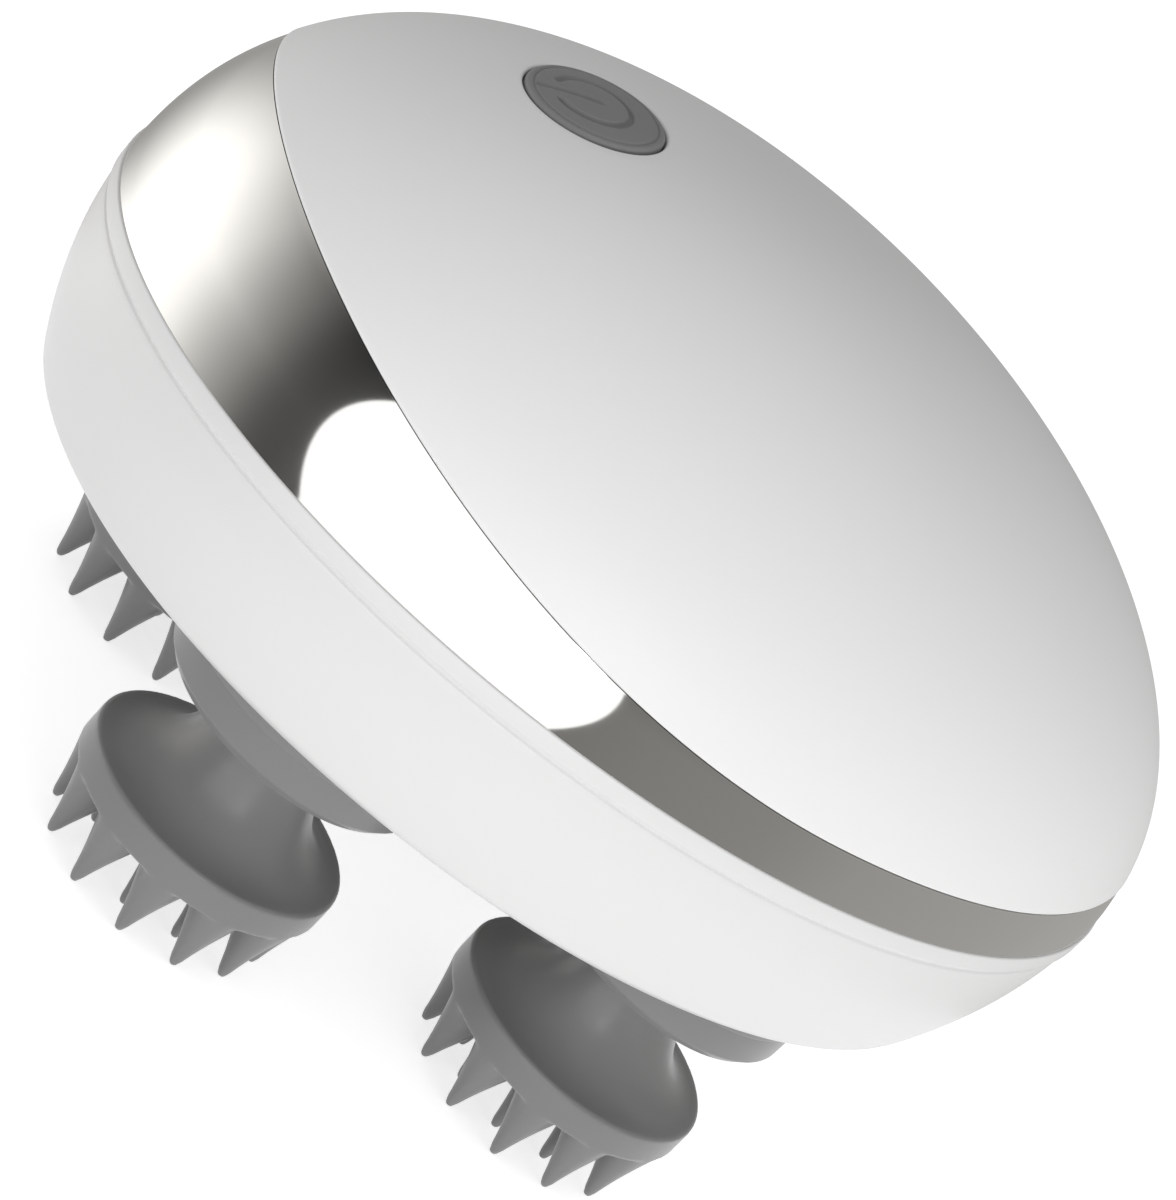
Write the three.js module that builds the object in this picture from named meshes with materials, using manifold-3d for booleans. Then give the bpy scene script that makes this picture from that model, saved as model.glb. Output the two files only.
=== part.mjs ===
// Electric scalp massager, held in one hand: an egg-shaped housing of three shells over a geared drive that
// turns four soft fingered massage heads together. A round power button sits in the cover, and a soft plug
// closes the charging socket.
//
// Millimetres. The origin is on the surface that the finger tips rest on, below the middle of the housing.
// +X runs along the length to the low end of the trim band, +Y to the charging side and +Z up.

import * as THREE from 'three';
import { mergeVertices } from 'three/addons/utils/BufferGeometryUtils.js';
import Module from 'manifold-3d';

const wasm = await Module();
wasm.setup();

// Clearances
const FIT_GAP = 0.3; // between seated pieces on curved or turned faces
const RUN_GAP = 0.12; // round a turning shaft
const SEAM_GAP = 0.2; // open line between the cover and the trim band
const JOIN = 0.5; // how far a boss runs into the wall that carries it
const PAST = 1; // how far a cutter runs past the face that it cuts
const FAR = 10; // and past the whole housing

// Soft massage heads
const OUTER_FINGERS = 12;
const INNER_FINGERS = 8;
const FINGER_LENGTH = 6.6;
const FINGER_TIP_RADIUS = 0.62;
const FINGER_FLARE = 1.25; // 1 is a straight cone, more is a slimmer finger on a wide foot
const OUTER_FOOT_RADIUS = 2.5;
const INNER_FOOT_RADIUS = 1.75;
const OUTER_TIP_CIRCLE = 10.6;
const INNER_TIP_CIRCLE = 6.8;
const INNER_TURN = 7.5; // degrees, sets the inner fingers between the outer ones
const CUP_RADIUS = 12.5;
const CUP_RIM_HEIGHT = 3;
const CUP_RIM_ROUND = 0.35;
const CUP_RISE = 9; // from the rim to the top of the neck
const CUP_NECK_RADIUS = 5.4;
const CUP_FLOOR = 1.2;
const CORE_RADIUS = 9;
const CORE_EDGE = 0.9;
const CORE_CONE = 1.5;
const CORE_HUB_RADIUS = 4.2;
const NEAR_CUP_TURN = 11; // degrees, how the two near cups sit on their cores

// Skirts round the spindles, on the underside
const SKIRT_RUN_GAP = 0.6;
const SKIRT_DROP = 4.9;
const SKIRT_TOP_RADIUS = 13.1;
const SKIRT_WALL_RADIUS = 12.8; // above its bevel
const SKIRT_BOTTOM_RADIUS = 12.1;
const SKIRT_BEVEL = 0.9;
const SKIRT_SKIN = 0.8;

// Housing
const WALL = 2;
const FLOOR = 2;
const HALF_LENGTH = 54;
const HALF_WIDTH = 43.5;
const BASE_DEPTH = 17.4; // from the underside to the seam with the trim band
const FLOOR_HALF_LENGTH = 48.8;
const FLOOR_HALF_WIDTH = 39.3;
const FLOOR_EDGE_ROUND = 1.4;
const LIP_HEIGHT = 1.6; // raised band along the top of the lower shell
const LIP_PROUD = 0.35;
const DOME_RISE = 31.4;
const DOME_POWER = 2.11; // 2 is an ellipse in side view, more is fuller
const DOME_LEAN = -6.3; // how far the top of the dome lies off the middle
const TRIM_LOW = 4.65; // height of the trim band where it is narrow
const TRIM_TANGENT_X = 13.4; // from here the band's top edge rises
const TRIM_RADIUS = 200; // on this radius
const SEAL_WIDTH = 0.8;
const SEAL_HEIGHT = 1;

// Gears, all of one module
const MODULE = 1.25;
const PRESSURE_ANGLE = THREE.MathUtils.degToRad(20);
const SUN_TEETH = 30;
const OUTPUT_TEETH = 15;
const PINION_TEETH = 11;
const ADDENDUM = 0.7; // shares of the module
const DEDENDUM = 0.95;
const TOOTH_SLACK = 0.12; // how much thinner than half the pitch a tooth is
const GEAR_THICKNESS = 5;
const GEAR_LIFT = 1.2; // above the floor
const HEAD_ANGLE = THREE.MathUtils.degToRad(46.3); // of the heads, from the X axis

// Shafts and bearings
const SPINDLE_RADIUS = 2.5;
const BUSH_RADIUS = 4;
const BUSH_FLANGE_RADIUS = 5.2;
const BUSH_FLANGE = 0.8;
const HEAD_BOSS_RADIUS = 6.5;
const AXLE_RADIUS = 2;
const AXLE_BOSS_RADIUS = 4.5;
const AXLE_BOSS_HEIGHT = 0.6;
const SUN_HUB_RADIUS = 5;
const SUN_WEB_DEPTH = 1.5;
const SUN_RIM = 3;
const MOTOR_SHAFT_RADIUS = 1.5;

// Deck that carries the motor and the battery
const DECK_LIFT = 8.2; // above the floor
const DECK_THICKNESS = 2;
const DECK_MARGIN_X = 10; // from the widest line of the housing to the deck
const DECK_MARGIN_Y = 10.5;
const DECK_POST_RADIUS = 2.8;
const DECK_POST_Y = 17;
const DECK_POST_GAP = 0.9; // between the front posts and the output gears beside them
const DECK_REAR_POST_X = -30;

// Motor
const GEARBOX_RADIUS = 10.5;
const GEARBOX_HEIGHT = 9;
const GEARBOX_BOSS_RADIUS = 4.5;
const MOTOR_RADIUS = 10;
const MOTOR_HEIGHT = 14.5;
const MOTOR_CAP_RADIUS = 3;
const MOTOR_CAP_HEIGHT = 1.2;
const MOTOR_EDGE = 1; // bevel round the top of the can
const TERMINAL_WIDTH = 2.4;
const TERMINAL_HEIGHT = 1.9;
const TERMINAL_THICKNESS = 0.5;
const TERMINAL_OFFSET = 5; // from the motor's axis, along X and along Y
const MOTOR_SCREW_OFFSET = 8;

// Battery
const BATTERY_RADIUS = 9;
const BATTERY_LENGTH = 50;
const BATTERY_X = -14;
const BATTERY_POLE_RADIUS = 3;
const BATTERY_POLE = 0.8;
const CRADLE_LENGTH = 40;
const CRADLE_HEIGHT = 8;
const CRADLE_WALL = 1.6;

// Circuit board and charging socket
const BOARD_THICKNESS = 1.6;
const BOARD_WIDTH = 24;
const BOARD_HEIGHT = 20;
const BOARD_POST_X = 7;
const BOARD_POST_WIDTH = 4;
const BOARD_POST_HEIGHT = 5;
const BOARD_POST_WALL = 1.5;
const SOCKET_WIDTH = 9;
const SOCKET_HEIGHT = 3.2;
const SOCKET_LENGTH = 7.3;
const SOCKET_SKIN = 0.4;
const SOCKET_LIFT = 9.2; // of its middle, above the underside
const PLUG_WIDTH = 13;
const PLUG_HEIGHT = 6.4;
const PLUG_THICKNESS = 1.3;
const PLUG_TONGUE = 4;

// Components on the board, by their size and the place of their middle, as shares of the board's width
const CHIPS = [
  { width: 0.21, depth: 0.04, height: 0.21, x: -0.25, z: 0.62 },
  { width: 0.17, depth: 0.09, height: 0.17, x: 0.04, z: 0.62 },
  { width: 0.13, depth: 0.05, height: 0.08, x: 0.29, z: 0.67 },
];

// Power button, square to the dome
const BUTTON_X = -27.6;
const BUTTON_RADIUS = 6.2;
const BUTTON_CROWN = 0.45; // height of its middle above its edge
const BUTTON_PROUD = 0.35;
const BUTTON_SKIRT = 3;
const BUTTON_EDGE = 0.3; // bevel round its face
const BUTTON_FLANGE = 0.8;
const BUTTON_FLANGE_WIDTH = 1;
const BUTTON_STEM_RADIUS = 1.6;
const BUTTON_STEM = 1.2;
const BUTTON_TRAVEL = 0.6;
const SWITCH_SLACK = 0.1; // between the pressed button and the switch
const SWITCH_SIZE = 6;
const SWITCH_HEIGHT = 2.6;
const SWITCH_CAP_RADIUS = 1.7;
const SWITCH_CAP = 0.9;
const BUTTON_SEAL_WALL = 1.3;
const BUTTON_WELL_WALL = 1.6;
const BUTTON_BOARD_THICKNESS = 1.2;

// Screws
const CASE_SCREW_EDGE = 7.8; // from the end of the underside
const CASE_SCREW_Y = 9;
const CASE_POST_RADIUS = 3.2;
const CASE_POST_RISE = 1; // above the deck
const CASE_POST_GAP = 0.3; // between a lower post and the cover's post above it
const CASE_SCREW_RADIUS = 1.2;
const CASE_SCREW_HEAD_RADIUS = 2.3;
const CASE_SCREW_BITE = 8;
const CASE_SCREW_RECESS = 0.8;
const SMALL_SCREW_RADIUS = 1;
const SMALL_SCREW_HEAD_RADIUS = 1.9;
const SCREW_HEAD = 1.3;
const SCREW_CROWN = 0.8; // width of the top of a screw head, as a share
const SMALL_SCREW_BITE = 5;

// Insulated leads to the circuit board
const LEAD_RADIUS = 0.7;
const LEAD_STRAIGHT = 2.5; // how far a lead runs straight at each end
const LEAD_STEPS = 8;
const BATTERY_LEAD_X = -9.5; // where each lead meets the board
const BUTTON_LEAD_X = -3.5;
const MOTOR_LEAD_X = 7;
const BATTERY_LEAD_HEIGHT = 14; // and how high on it
const BUTTON_LEAD_HEIGHT = 17.5;
const MOTOR_LEAD_HEIGHT = 16;
const BUTTON_LEAD_Y = 7;

// Facets
const OVAL_SIDES = 40;
const INNER_SIDES = 24;
const DOME_ROWS = 9;
const DOME_TOP = 0.02; // width of the level oval that closes the dome, as a share
const INNER_ROWS = 5;
const BASE_ROWS = 3;
const TRIM_STEPS = 12;
const CUP_ROWS = 3;
const CROWN_ROWS = 2;
const LARGE_SIDES = 18;
const ROUND_SIDES = 12;
const SMALL_SIDES = 6;
const OUTER_FINGER_SIDES = 5;
const INNER_FINGER_SIDES = 4;
const PILL_STEPS = 3; // in a quarter of the rounded ends

// Heights, from the finger tips up
const RIM_TOP_Z = FINGER_LENGTH + CUP_RIM_HEIGHT;
const NECK_Z = RIM_TOP_Z + CUP_RISE;
const SKIRT_Z = NECK_Z + SKIRT_RUN_GAP;
const FLOOR_Z = SKIRT_Z + SKIRT_DROP;
const FLOOR_TOP_Z = FLOOR_Z + FLOOR;
const SEAM_Z = FLOOR_Z + BASE_DEPTH;
const GEAR_Z = FLOOR_TOP_Z + GEAR_LIFT;
const GEAR_TOP_Z = GEAR_Z + GEAR_THICKNESS;
const DECK_Z = FLOOR_TOP_Z + DECK_LIFT;
const DECK_TOP_Z = DECK_Z + DECK_THICKNESS;
const BATTERY_Z = DECK_TOP_Z + CRADLE_WALL + FIT_GAP + BATTERY_RADIUS;
const SOCKET_Z = FLOOR_Z + SOCKET_LIFT;
const BOARD_Z = FLOOR_TOP_Z + FIT_GAP;
const CASE_POST_TOP_Z = DECK_TOP_Z + CASE_POST_RISE;
const CASE_SCREW_LOW_Z = FLOOR_Z + CASE_SCREW_RECESS;
const CASE_SCREW_TOP_Z = CASE_POST_TOP_Z + CASE_SCREW_BITE;
const MOTOR_Z = DECK_TOP_Z + GEARBOX_HEIGHT;
const MOTOR_TOP_Z = MOTOR_Z + MOTOR_HEIGHT;

// Places in plan
const TRIM_HALF_LENGTH = HALF_LENGTH - LIP_PROUD;
const TRIM_HALF_WIDTH = HALF_WIDTH - LIP_PROUD;
const pitchRadius = (teeth) => (MODULE * teeth) / 2;
const HEAD_REACH = pitchRadius(SUN_TEETH) + pitchRadius(OUTPUT_TEETH);
const HEAD_X = HEAD_REACH * Math.cos(HEAD_ANGLE);
const HEAD_Y = HEAD_REACH * Math.sin(HEAD_ANGLE);
const MOTOR_X = pitchRadius(SUN_TEETH) + pitchRadius(PINION_TEETH);
const CASE_SCREW_X = FLOOR_HALF_LENGTH - CASE_SCREW_EDGE;
const DECK_HALF_LENGTH = HALF_LENGTH - DECK_MARGIN_X;
const DECK_HALF_WIDTH = HALF_WIDTH - DECK_MARGIN_Y;
const DECK_POST_REACH = pitchRadius(OUTPUT_TEETH) + ADDENDUM * MODULE + DECK_POST_GAP + DECK_POST_RADIUS;
const DECK_POST_X = HEAD_X + Math.sqrt(DECK_POST_REACH ** 2 - (HEAD_Y - DECK_POST_Y) ** 2);
const RECESS_Y = baseRing(SEAM_Z - SOCKET_Z).b - PLUG_THICKNESS - FIT_GAP;
const SOCKET_MOUTH_Y = RECESS_Y - FIT_GAP;
const BOARD_FRONT_Y = SOCKET_MOUTH_Y - SOCKET_LENGTH;
const BOARD_Y = BOARD_FRONT_Y - BOARD_THICKNESS;
const HEADS = [
  { number: 1, x: -HEAD_X, y: HEAD_Y, turn: 0 },
  { number: 2, x: -HEAD_X, y: -HEAD_Y, turn: NEAR_CUP_TURN },
  { number: 3, x: HEAD_X, y: -HEAD_Y, turn: NEAR_CUP_TURN },
  { number: 4, x: HEAD_X, y: HEAD_Y, turn: 0 },
];
const CASE_SCREWS = [
  [CASE_SCREW_X, CASE_SCREW_Y],
  [-CASE_SCREW_X, CASE_SCREW_Y],
  [-CASE_SCREW_X, -CASE_SCREW_Y],
  [CASE_SCREW_X, -CASE_SCREW_Y],
];
const DECK_SCREWS = [
  [DECK_POST_X, DECK_POST_Y],
  [DECK_POST_X, -DECK_POST_Y],
  [DECK_REAR_POST_X, 0],
];

const material = (color, roughness, metalness = 0) =>
  new THREE.MeshStandardMaterial({ color, roughness, metalness });
const PEARL = material(0xd9d9d9, 0.35);
const WHITE = material(0xececec, 0.4);
const CHROME = material(0xb9b6ae, 0.12, 1);
const SILICONE = material(0x7b7b7b, 0.6);
const RUBBER = material(0x4a4a4a, 0.7);
const BLACK_PLASTIC = material(0x2b2c2e, 0.55);
const GEAR_PLASTIC = material(0xe8e2d0, 0.45);
const STEEL = material(0xc4c6c8, 0.3, 1);
const BRONZE = material(0xb08a4f, 0.45, 1);
const CELL_WRAP = material(0x3f6fa8, 0.5);
const BOARD_GREEN = material(0x1f5c3a, 0.5);

const massager = new THREE.Group();

// A closed mesh as a solid that can be joined and cut
function solid(geometry) {
  const bare = geometry.clone();
  bare.deleteAttribute('normal');
  bare.deleteAttribute('uv');
  const merged = mergeVertices(bare, 1e-4);
  const mesh = new wasm.Mesh({
    numProp: 3,
    vertProperties: new Float32Array(merged.attributes.position.array),
    triVerts: new Uint32Array(merged.index.array),
  });
  return new wasm.Manifold(mesh);
}

function geometryOf(body) {
  const mesh = body.getMesh();
  const geometry = new THREE.BufferGeometry();
  geometry.setAttribute('position', new THREE.BufferAttribute(new Float32Array(mesh.vertProperties), 3));
  geometry.setIndex(new THREE.BufferAttribute(new Uint32Array(mesh.triVerts), 1));
  geometry.computeVertexNormals();
  return geometry;
}

function addPart(name, shape, finish, parent = massager) {
  const geometry = shape.isBufferGeometry ? shape : geometryOf(shape);
  const mesh = new THREE.Mesh(geometry, finish);
  mesh.name = name;
  parent.add(mesh);
  return mesh;
}

// A profile of [radius, height] pairs turned about Z, anticlockwise in the half plane
function turned(profile, sides = ROUND_SIDES) {
  const points = profile.map(([radius, height]) => new THREE.Vector2(radius, height));
  return new THREE.LatheGeometry(points, sides).rotateX(Math.PI / 2);
}

function rod(radius, low, high, sides = ROUND_SIDES) {
  return turned([[0, low], [radius, low], [radius, high], [0, high]], sides);
}

function tube(inner, outer, low, high, sides = ROUND_SIDES) {
  return turned([[inner, low], [outer, low], [outer, high], [inner, high], [inner, low]], sides);
}

function block(width, depth, height, x, y, z) {
  return new THREE.BoxGeometry(width, depth, height).translate(x, y, z);
}

function plate(shape, low, high, curveSegments = ROUND_SIDES / 2) {
  const options = { depth: high - low, bevelEnabled: false, curveSegments };
  return new THREE.ExtrudeGeometry(shape, options).translate(0, 0, low);
}

// A loft through level ovals, from the lowest to the highest, closed at both ends
function ovalLoft(rings, sides) {
  const positions = [];
  const index = [];
  for (const ring of rings) {
    for (let side = 0; side < sides; side += 1) {
      const angle = (2 * Math.PI * side) / sides;
      positions.push(ring.x + ring.a * Math.cos(angle), ring.b * Math.sin(angle), ring.z);
    }
  }
  const lowest = rings[0];
  const highest = rings[rings.length - 1];
  const lowCentre = positions.length / 3;
  positions.push(lowest.x, 0, lowest.z, highest.x, 0, highest.z);
  for (let side = 0; side < sides; side += 1) {
    const next = (side + 1) % sides;
    index.push(lowCentre, next, side);
    for (let row = 0; row < rings.length - 1; row += 1) {
      const below = row * sides;
      const above = below + sides;
      index.push(below + side, below + next, above + next);
      index.push(below + side, above + next, above + side);
    }
    const top = (rings.length - 1) * sides;
    index.push(lowCentre + 1, top + side, top + next);
  }
  const geometry = new THREE.BufferGeometry();
  geometry.setAttribute('position', new THREE.Float32BufferAttribute(positions, 3));
  geometry.setIndex(index);
  return geometry;
}

const leanAt = (rise) => DOME_LEAN * (rise / DOME_RISE) ** 2;

// One level of the dome, an inset inside its outer face
function domeRing(turn, inset) {
  const reach = Math.cos(turn) ** (2 / DOME_POWER);
  const rise = (DOME_RISE - inset) * Math.sin(turn) ** (2 / DOME_POWER);
  return {
    a: (TRIM_HALF_LENGTH - inset) * reach,
    b: (TRIM_HALF_WIDTH - inset) * reach,
    x: leanAt(rise),
    z: SEAM_Z + rise,
  };
}

// The dome as a solid, its top closed by a small level oval, and its foot run down by a drop
function dome(inset, rows, sides, drop = 0) {
  const rings = [];
  const lastTurn = Math.acos(DOME_TOP);
  for (let row = 0; row <= rows; row += 1) {
    rings.push(domeRing((lastTurn * row) / rows, inset));
  }
  if (drop > 0) {
    rings.unshift({ ...rings[0], z: SEAM_Z - drop });
  }
  return solid(ovalLoft(rings, sides));
}

// One level of the lower shell, at a depth below the seam
function baseRing(depth, outset = 0) {
  const share = (depth / BASE_DEPTH) ** 2;
  return {
    a: TRIM_HALF_LENGTH - (TRIM_HALF_LENGTH - FLOOR_HALF_LENGTH) * share + outset,
    b: TRIM_HALF_WIDTH - (TRIM_HALF_WIDTH - FLOOR_HALF_WIDTH) * share + outset,
    x: 0,
    z: SEAM_Z - depth,
  };
}

function lowerOuter() {
  const rings = [];
  for (const angle of [0, Math.PI / 4]) {
    const rise = FLOOR_EDGE_ROUND * (1 - Math.cos(angle));
    rings.push(baseRing(BASE_DEPTH - rise, -FLOOR_EDGE_ROUND * (1 - Math.sin(angle))));
  }
  const low = BASE_DEPTH - FLOOR_EDGE_ROUND;
  const high = LIP_HEIGHT + LIP_PROUD;
  for (let row = 0; row <= BASE_ROWS; row += 1) {
    rings.push(baseRing(low + ((high - low) * row) / BASE_ROWS));
  }
  rings.push(baseRing(LIP_HEIGHT, LIP_PROUD));
  rings.push(baseRing(LIP_PROUD, LIP_PROUD));
  rings.push(baseRing(0, LIP_PROUD / 2));
  return solid(ovalLoft(rings, OVAL_SIDES));
}

function lowerInner() {
  const rings = [];
  for (let row = 0; row <= BASE_ROWS; row += 1) {
    rings.push(baseRing((BASE_DEPTH - FLOOR) * (1 - row / BASE_ROWS), -WALL));
  }
  rings.push({ ...rings[rings.length - 1], z: SEAM_Z + WALL });
  return solid(ovalLoft(rings, INNER_SIDES));
}

// Everything above the top edge of the trim band, as seen from the side, lifted by a given height
function aboveTrim(lift) {
  const reach = HALF_LENGTH + FAR;
  const low = SEAM_Z + TRIM_LOW + lift;
  const sweep = Math.asin((TRIM_TANGENT_X + reach) / TRIM_RADIUS);
  const side = new THREE.Shape();
  side.moveTo(reach, low);
  side.lineTo(TRIM_TANGENT_X, low);
  side.absarc(TRIM_TANGENT_X, low + TRIM_RADIUS, TRIM_RADIUS, -Math.PI / 2, -Math.PI / 2 - sweep, true);
  side.lineTo(-reach, low + 2 * DOME_RISE);
  side.lineTo(reach, low + 2 * DOME_RISE);
  const depth = 2 * (HALF_WIDTH + FAR);
  const options = { depth, bevelEnabled: false, curveSegments: TRIM_STEPS };
  const swept = new THREE.ExtrudeGeometry(side, options).rotateX(Math.PI / 2);
  return solid(swept.translate(0, depth / 2, 0));
}

// Height of the dome's outer face on the middle line
function domeHeight(x) {
  let rise = DOME_RISE;
  for (let step = 0; step < 60; step += 1) {
    const share = Math.min(1, Math.abs(x - leanAt(rise)) / TRIM_HALF_LENGTH);
    rise = DOME_RISE * (1 - share ** DOME_POWER) ** (1 / DOME_POWER);
  }
  return SEAM_Z + rise;
}

// A group whose Z axis stands square on the dome at the button
function buttonPlace() {
  const step = 0.5;
  const slope = (domeHeight(BUTTON_X + step) - domeHeight(BUTTON_X - step)) / (2 * step);
  const place = new THREE.Group();
  place.position.set(BUTTON_X, 0, domeHeight(BUTTON_X));
  place.rotation.y = -Math.atan(slope);
  place.updateMatrixWorld(true);
  return place;
}

const buttonGroup = buttonPlace();
massager.add(buttonGroup);

// Depths below the dome at the button, along its axis
const BUTTON_FLANGE_TOP = -BUTTON_SKIRT;
const BUTTON_FLANGE_LOW = BUTTON_FLANGE_TOP - BUTTON_FLANGE;
const BUTTON_STEM_LOW = BUTTON_FLANGE_LOW - BUTTON_STEM;
const SWITCH_CAP_TOP = BUTTON_STEM_LOW - BUTTON_TRAVEL - SWITCH_SLACK;
const SWITCH_TOP = SWITCH_CAP_TOP - SWITCH_CAP;
const BUTTON_BOARD_TOP = SWITCH_TOP - SWITCH_HEIGHT;
const BUTTON_BOARD_LOW = BUTTON_BOARD_TOP - BUTTON_BOARD_THICKNESS;
const BUTTON_SEAL_INNER = BUTTON_RADIUS + BUTTON_FLANGE_WIDTH + FIT_GAP;
const BUTTON_SEAL_OUTER = BUTTON_SEAL_INNER + BUTTON_SEAL_WALL;
const BUTTON_WELL_INNER = BUTTON_SEAL_OUTER + FIT_GAP;
const BUTTON_WELL_OUTER = BUTTON_WELL_INNER + BUTTON_WELL_WALL;

function topShell(outer, inner) {
  let shell = outer.subtract(inner).intersect(aboveTrim(SEAM_GAP / 2));
  const lining = dome(WALL - JOIN, INNER_ROWS, INNER_SIDES, BASE_DEPTH);
  for (const [x, y] of CASE_SCREWS) {
    const post = rod(CASE_POST_RADIUS, CASE_POST_TOP_Z + CASE_POST_GAP, SEAM_Z + DOME_RISE, SMALL_SIDES);
    shell = shell.add(solid(post.translate(x, y, 0)).intersect(lining));
    const pilotTop = CASE_SCREW_TOP_Z + FIT_GAP;
    const pilot = rod(CASE_SCREW_RADIUS + FIT_GAP, CASE_POST_TOP_Z, pilotTop, SMALL_SIDES);
    shell = shell.subtract(solid(pilot.translate(x, y, 0)));
  }
  const well = rod(BUTTON_WELL_OUTER, BUTTON_BOARD_TOP + FIT_GAP, PAST).applyMatrix4(buttonGroup.matrixWorld);
  shell = shell.add(solid(well).intersect(lining));
  const seat = BUTTON_FLANGE_TOP + FIT_GAP;
  const wellBore = rod(BUTTON_WELL_INNER, BUTTON_BOARD_TOP - FAR, seat, LARGE_SIDES);
  shell = shell.subtract(solid(wellBore.applyMatrix4(buttonGroup.matrixWorld)));
  const hole = rod(BUTTON_RADIUS + FIT_GAP, BUTTON_BOARD_TOP, PAST, LARGE_SIDES);
  return shell.subtract(solid(hole.applyMatrix4(buttonGroup.matrixWorld)));
}

// A pill-shaped prism along Y round the charging socket
function pill(width, height, near, far) {
  const radius = height / 2;
  const half = width / 2 - radius;
  const shape = new THREE.Shape();
  shape.absarc(half, 0, radius, -Math.PI / 2, Math.PI / 2, false);
  shape.absarc(-half, 0, radius, Math.PI / 2, (3 * Math.PI) / 2, false);
  const options = { depth: far - near, bevelEnabled: false, curveSegments: PILL_STEPS };
  const prism = new THREE.ExtrudeGeometry(shape, options).rotateX(Math.PI / 2);
  return solid(prism.translate(0, far, SOCKET_Z));
}

function lowerShell() {
  let shell = lowerOuter().subtract(lowerInner());
  for (const { x, y } of HEADS) {
    const boss = rod(HEAD_BOSS_RADIUS, SKIRT_Z + SKIRT_SKIN + FIT_GAP, FLOOR_Z + JOIN);
    shell = shell.add(solid(boss.translate(x, y, 0)));
    const bore = rod(BUSH_RADIUS + FIT_GAP, SKIRT_Z, FLOOR_TOP_Z + PAST);
    shell = shell.subtract(solid(bore.translate(x, y, 0)));
  }
  for (const [x, y] of CASE_SCREWS) {
    const post = rod(CASE_POST_RADIUS, FLOOR_TOP_Z - JOIN, CASE_POST_TOP_Z, SMALL_SIDES);
    shell = shell.add(solid(post.translate(x, y, 0)));
    const headLow = CASE_SCREW_LOW_Z + SCREW_HEAD + FIT_GAP;
    const hole = turned([
      [0, FLOOR_Z - PAST],
      [CASE_SCREW_HEAD_RADIUS + FIT_GAP, FLOOR_Z - PAST],
      [CASE_SCREW_HEAD_RADIUS + FIT_GAP, headLow],
      [CASE_SCREW_RADIUS + FIT_GAP, headLow],
      [CASE_SCREW_RADIUS + FIT_GAP, CASE_POST_TOP_Z + PAST],
      [0, CASE_POST_TOP_Z + PAST],
    ], SMALL_SIDES);
    shell = shell.subtract(solid(hole.translate(x, y, 0)));
  }
  for (const [x, y] of DECK_SCREWS) {
    const post = rod(DECK_POST_RADIUS, FLOOR_TOP_Z - JOIN, DECK_Z, SMALL_SIDES);
    shell = shell.add(solid(post.translate(x, y, 0)));
    const pilotLow = DECK_Z - SMALL_SCREW_BITE - FIT_GAP;
    const pilot = rod(SMALL_SCREW_RADIUS + FIT_GAP, pilotLow, DECK_Z + PAST, SMALL_SIDES);
    shell = shell.subtract(solid(pilot.translate(x, y, 0)));
  }
  shell = shell.add(solid(rod(AXLE_BOSS_RADIUS, FLOOR_TOP_Z - JOIN, FLOOR_TOP_Z + AXLE_BOSS_HEIGHT)));
  shell = shell.subtract(solid(rod(AXLE_RADIUS + FIT_GAP, FLOOR_Z + FLOOR / 2, FLOOR_TOP_Z + PAST)));
  const slot = BOARD_THICKNESS + 2 * FIT_GAP;
  const postDepth = slot + 2 * BOARD_POST_WALL;
  const postMiddle = BOARD_Y + BOARD_THICKNESS / 2;
  const postHeight = BOARD_POST_HEIGHT + JOIN;
  for (const side of [-1, 1]) {
    const x = side * BOARD_POST_X;
    const z = FLOOR_TOP_Z - JOIN + postHeight / 2;
    shell = shell.add(solid(block(BOARD_POST_WIDTH, postDepth, postHeight, x, postMiddle, z)));
    const slotZ = FLOOR_TOP_Z + postHeight / 2;
    shell = shell.subtract(solid(block(BOARD_POST_WIDTH + PAST, slot, postHeight, x, postMiddle, slotZ)));
  }
  const sealLow = SEAM_Z - SEAL_HEIGHT - FIT_GAP;
  const sealSeat = ovalRing(-WALL - PAST, -WALL + SEAL_WIDTH + FIT_GAP, sealLow, SEAM_Z + PAST);
  shell = shell.subtract(sealSeat);
  const recess = pill(PLUG_WIDTH + 2 * FIT_GAP, PLUG_HEIGHT + 2 * FIT_GAP, RECESS_Y, HALF_WIDTH + PAST);
  shell = shell.subtract(recess);
  return shell.subtract(socketOpening());
}

// A level oval ring, its two faces set off from the trim band's outer face
function ovalRing(innerOutset, outerOutset, low, high) {
  const outerRing = baseRing(0, outerOutset);
  const innerRing = baseRing(0, innerOutset);
  const outer = [{ ...outerRing, z: low }, { ...outerRing, z: high }];
  const inner = [{ ...innerRing, z: low - PAST }, { ...innerRing, z: high + PAST }];
  return solid(ovalLoft(outer, INNER_SIDES)).subtract(solid(ovalLoft(inner, INNER_SIDES)));
}

function socketOpening() {
  const width = SOCKET_WIDTH + 2 * FIT_GAP;
  const height = SOCKET_HEIGHT + 2 * FIT_GAP;
  return pill(width, height, BOARD_FRONT_Y, HALF_WIDTH);
}

function chargeSocket() {
  const shell = pill(SOCKET_WIDTH, SOCKET_HEIGHT, BOARD_FRONT_Y, SOCKET_MOUTH_Y);
  const width = SOCKET_WIDTH - 2 * SOCKET_SKIN;
  const height = SOCKET_HEIGHT - 2 * SOCKET_SKIN;
  return shell.subtract(pill(width, height, BOARD_FRONT_Y + SOCKET_SKIN, SOCKET_MOUTH_Y + PAST));
}

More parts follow.
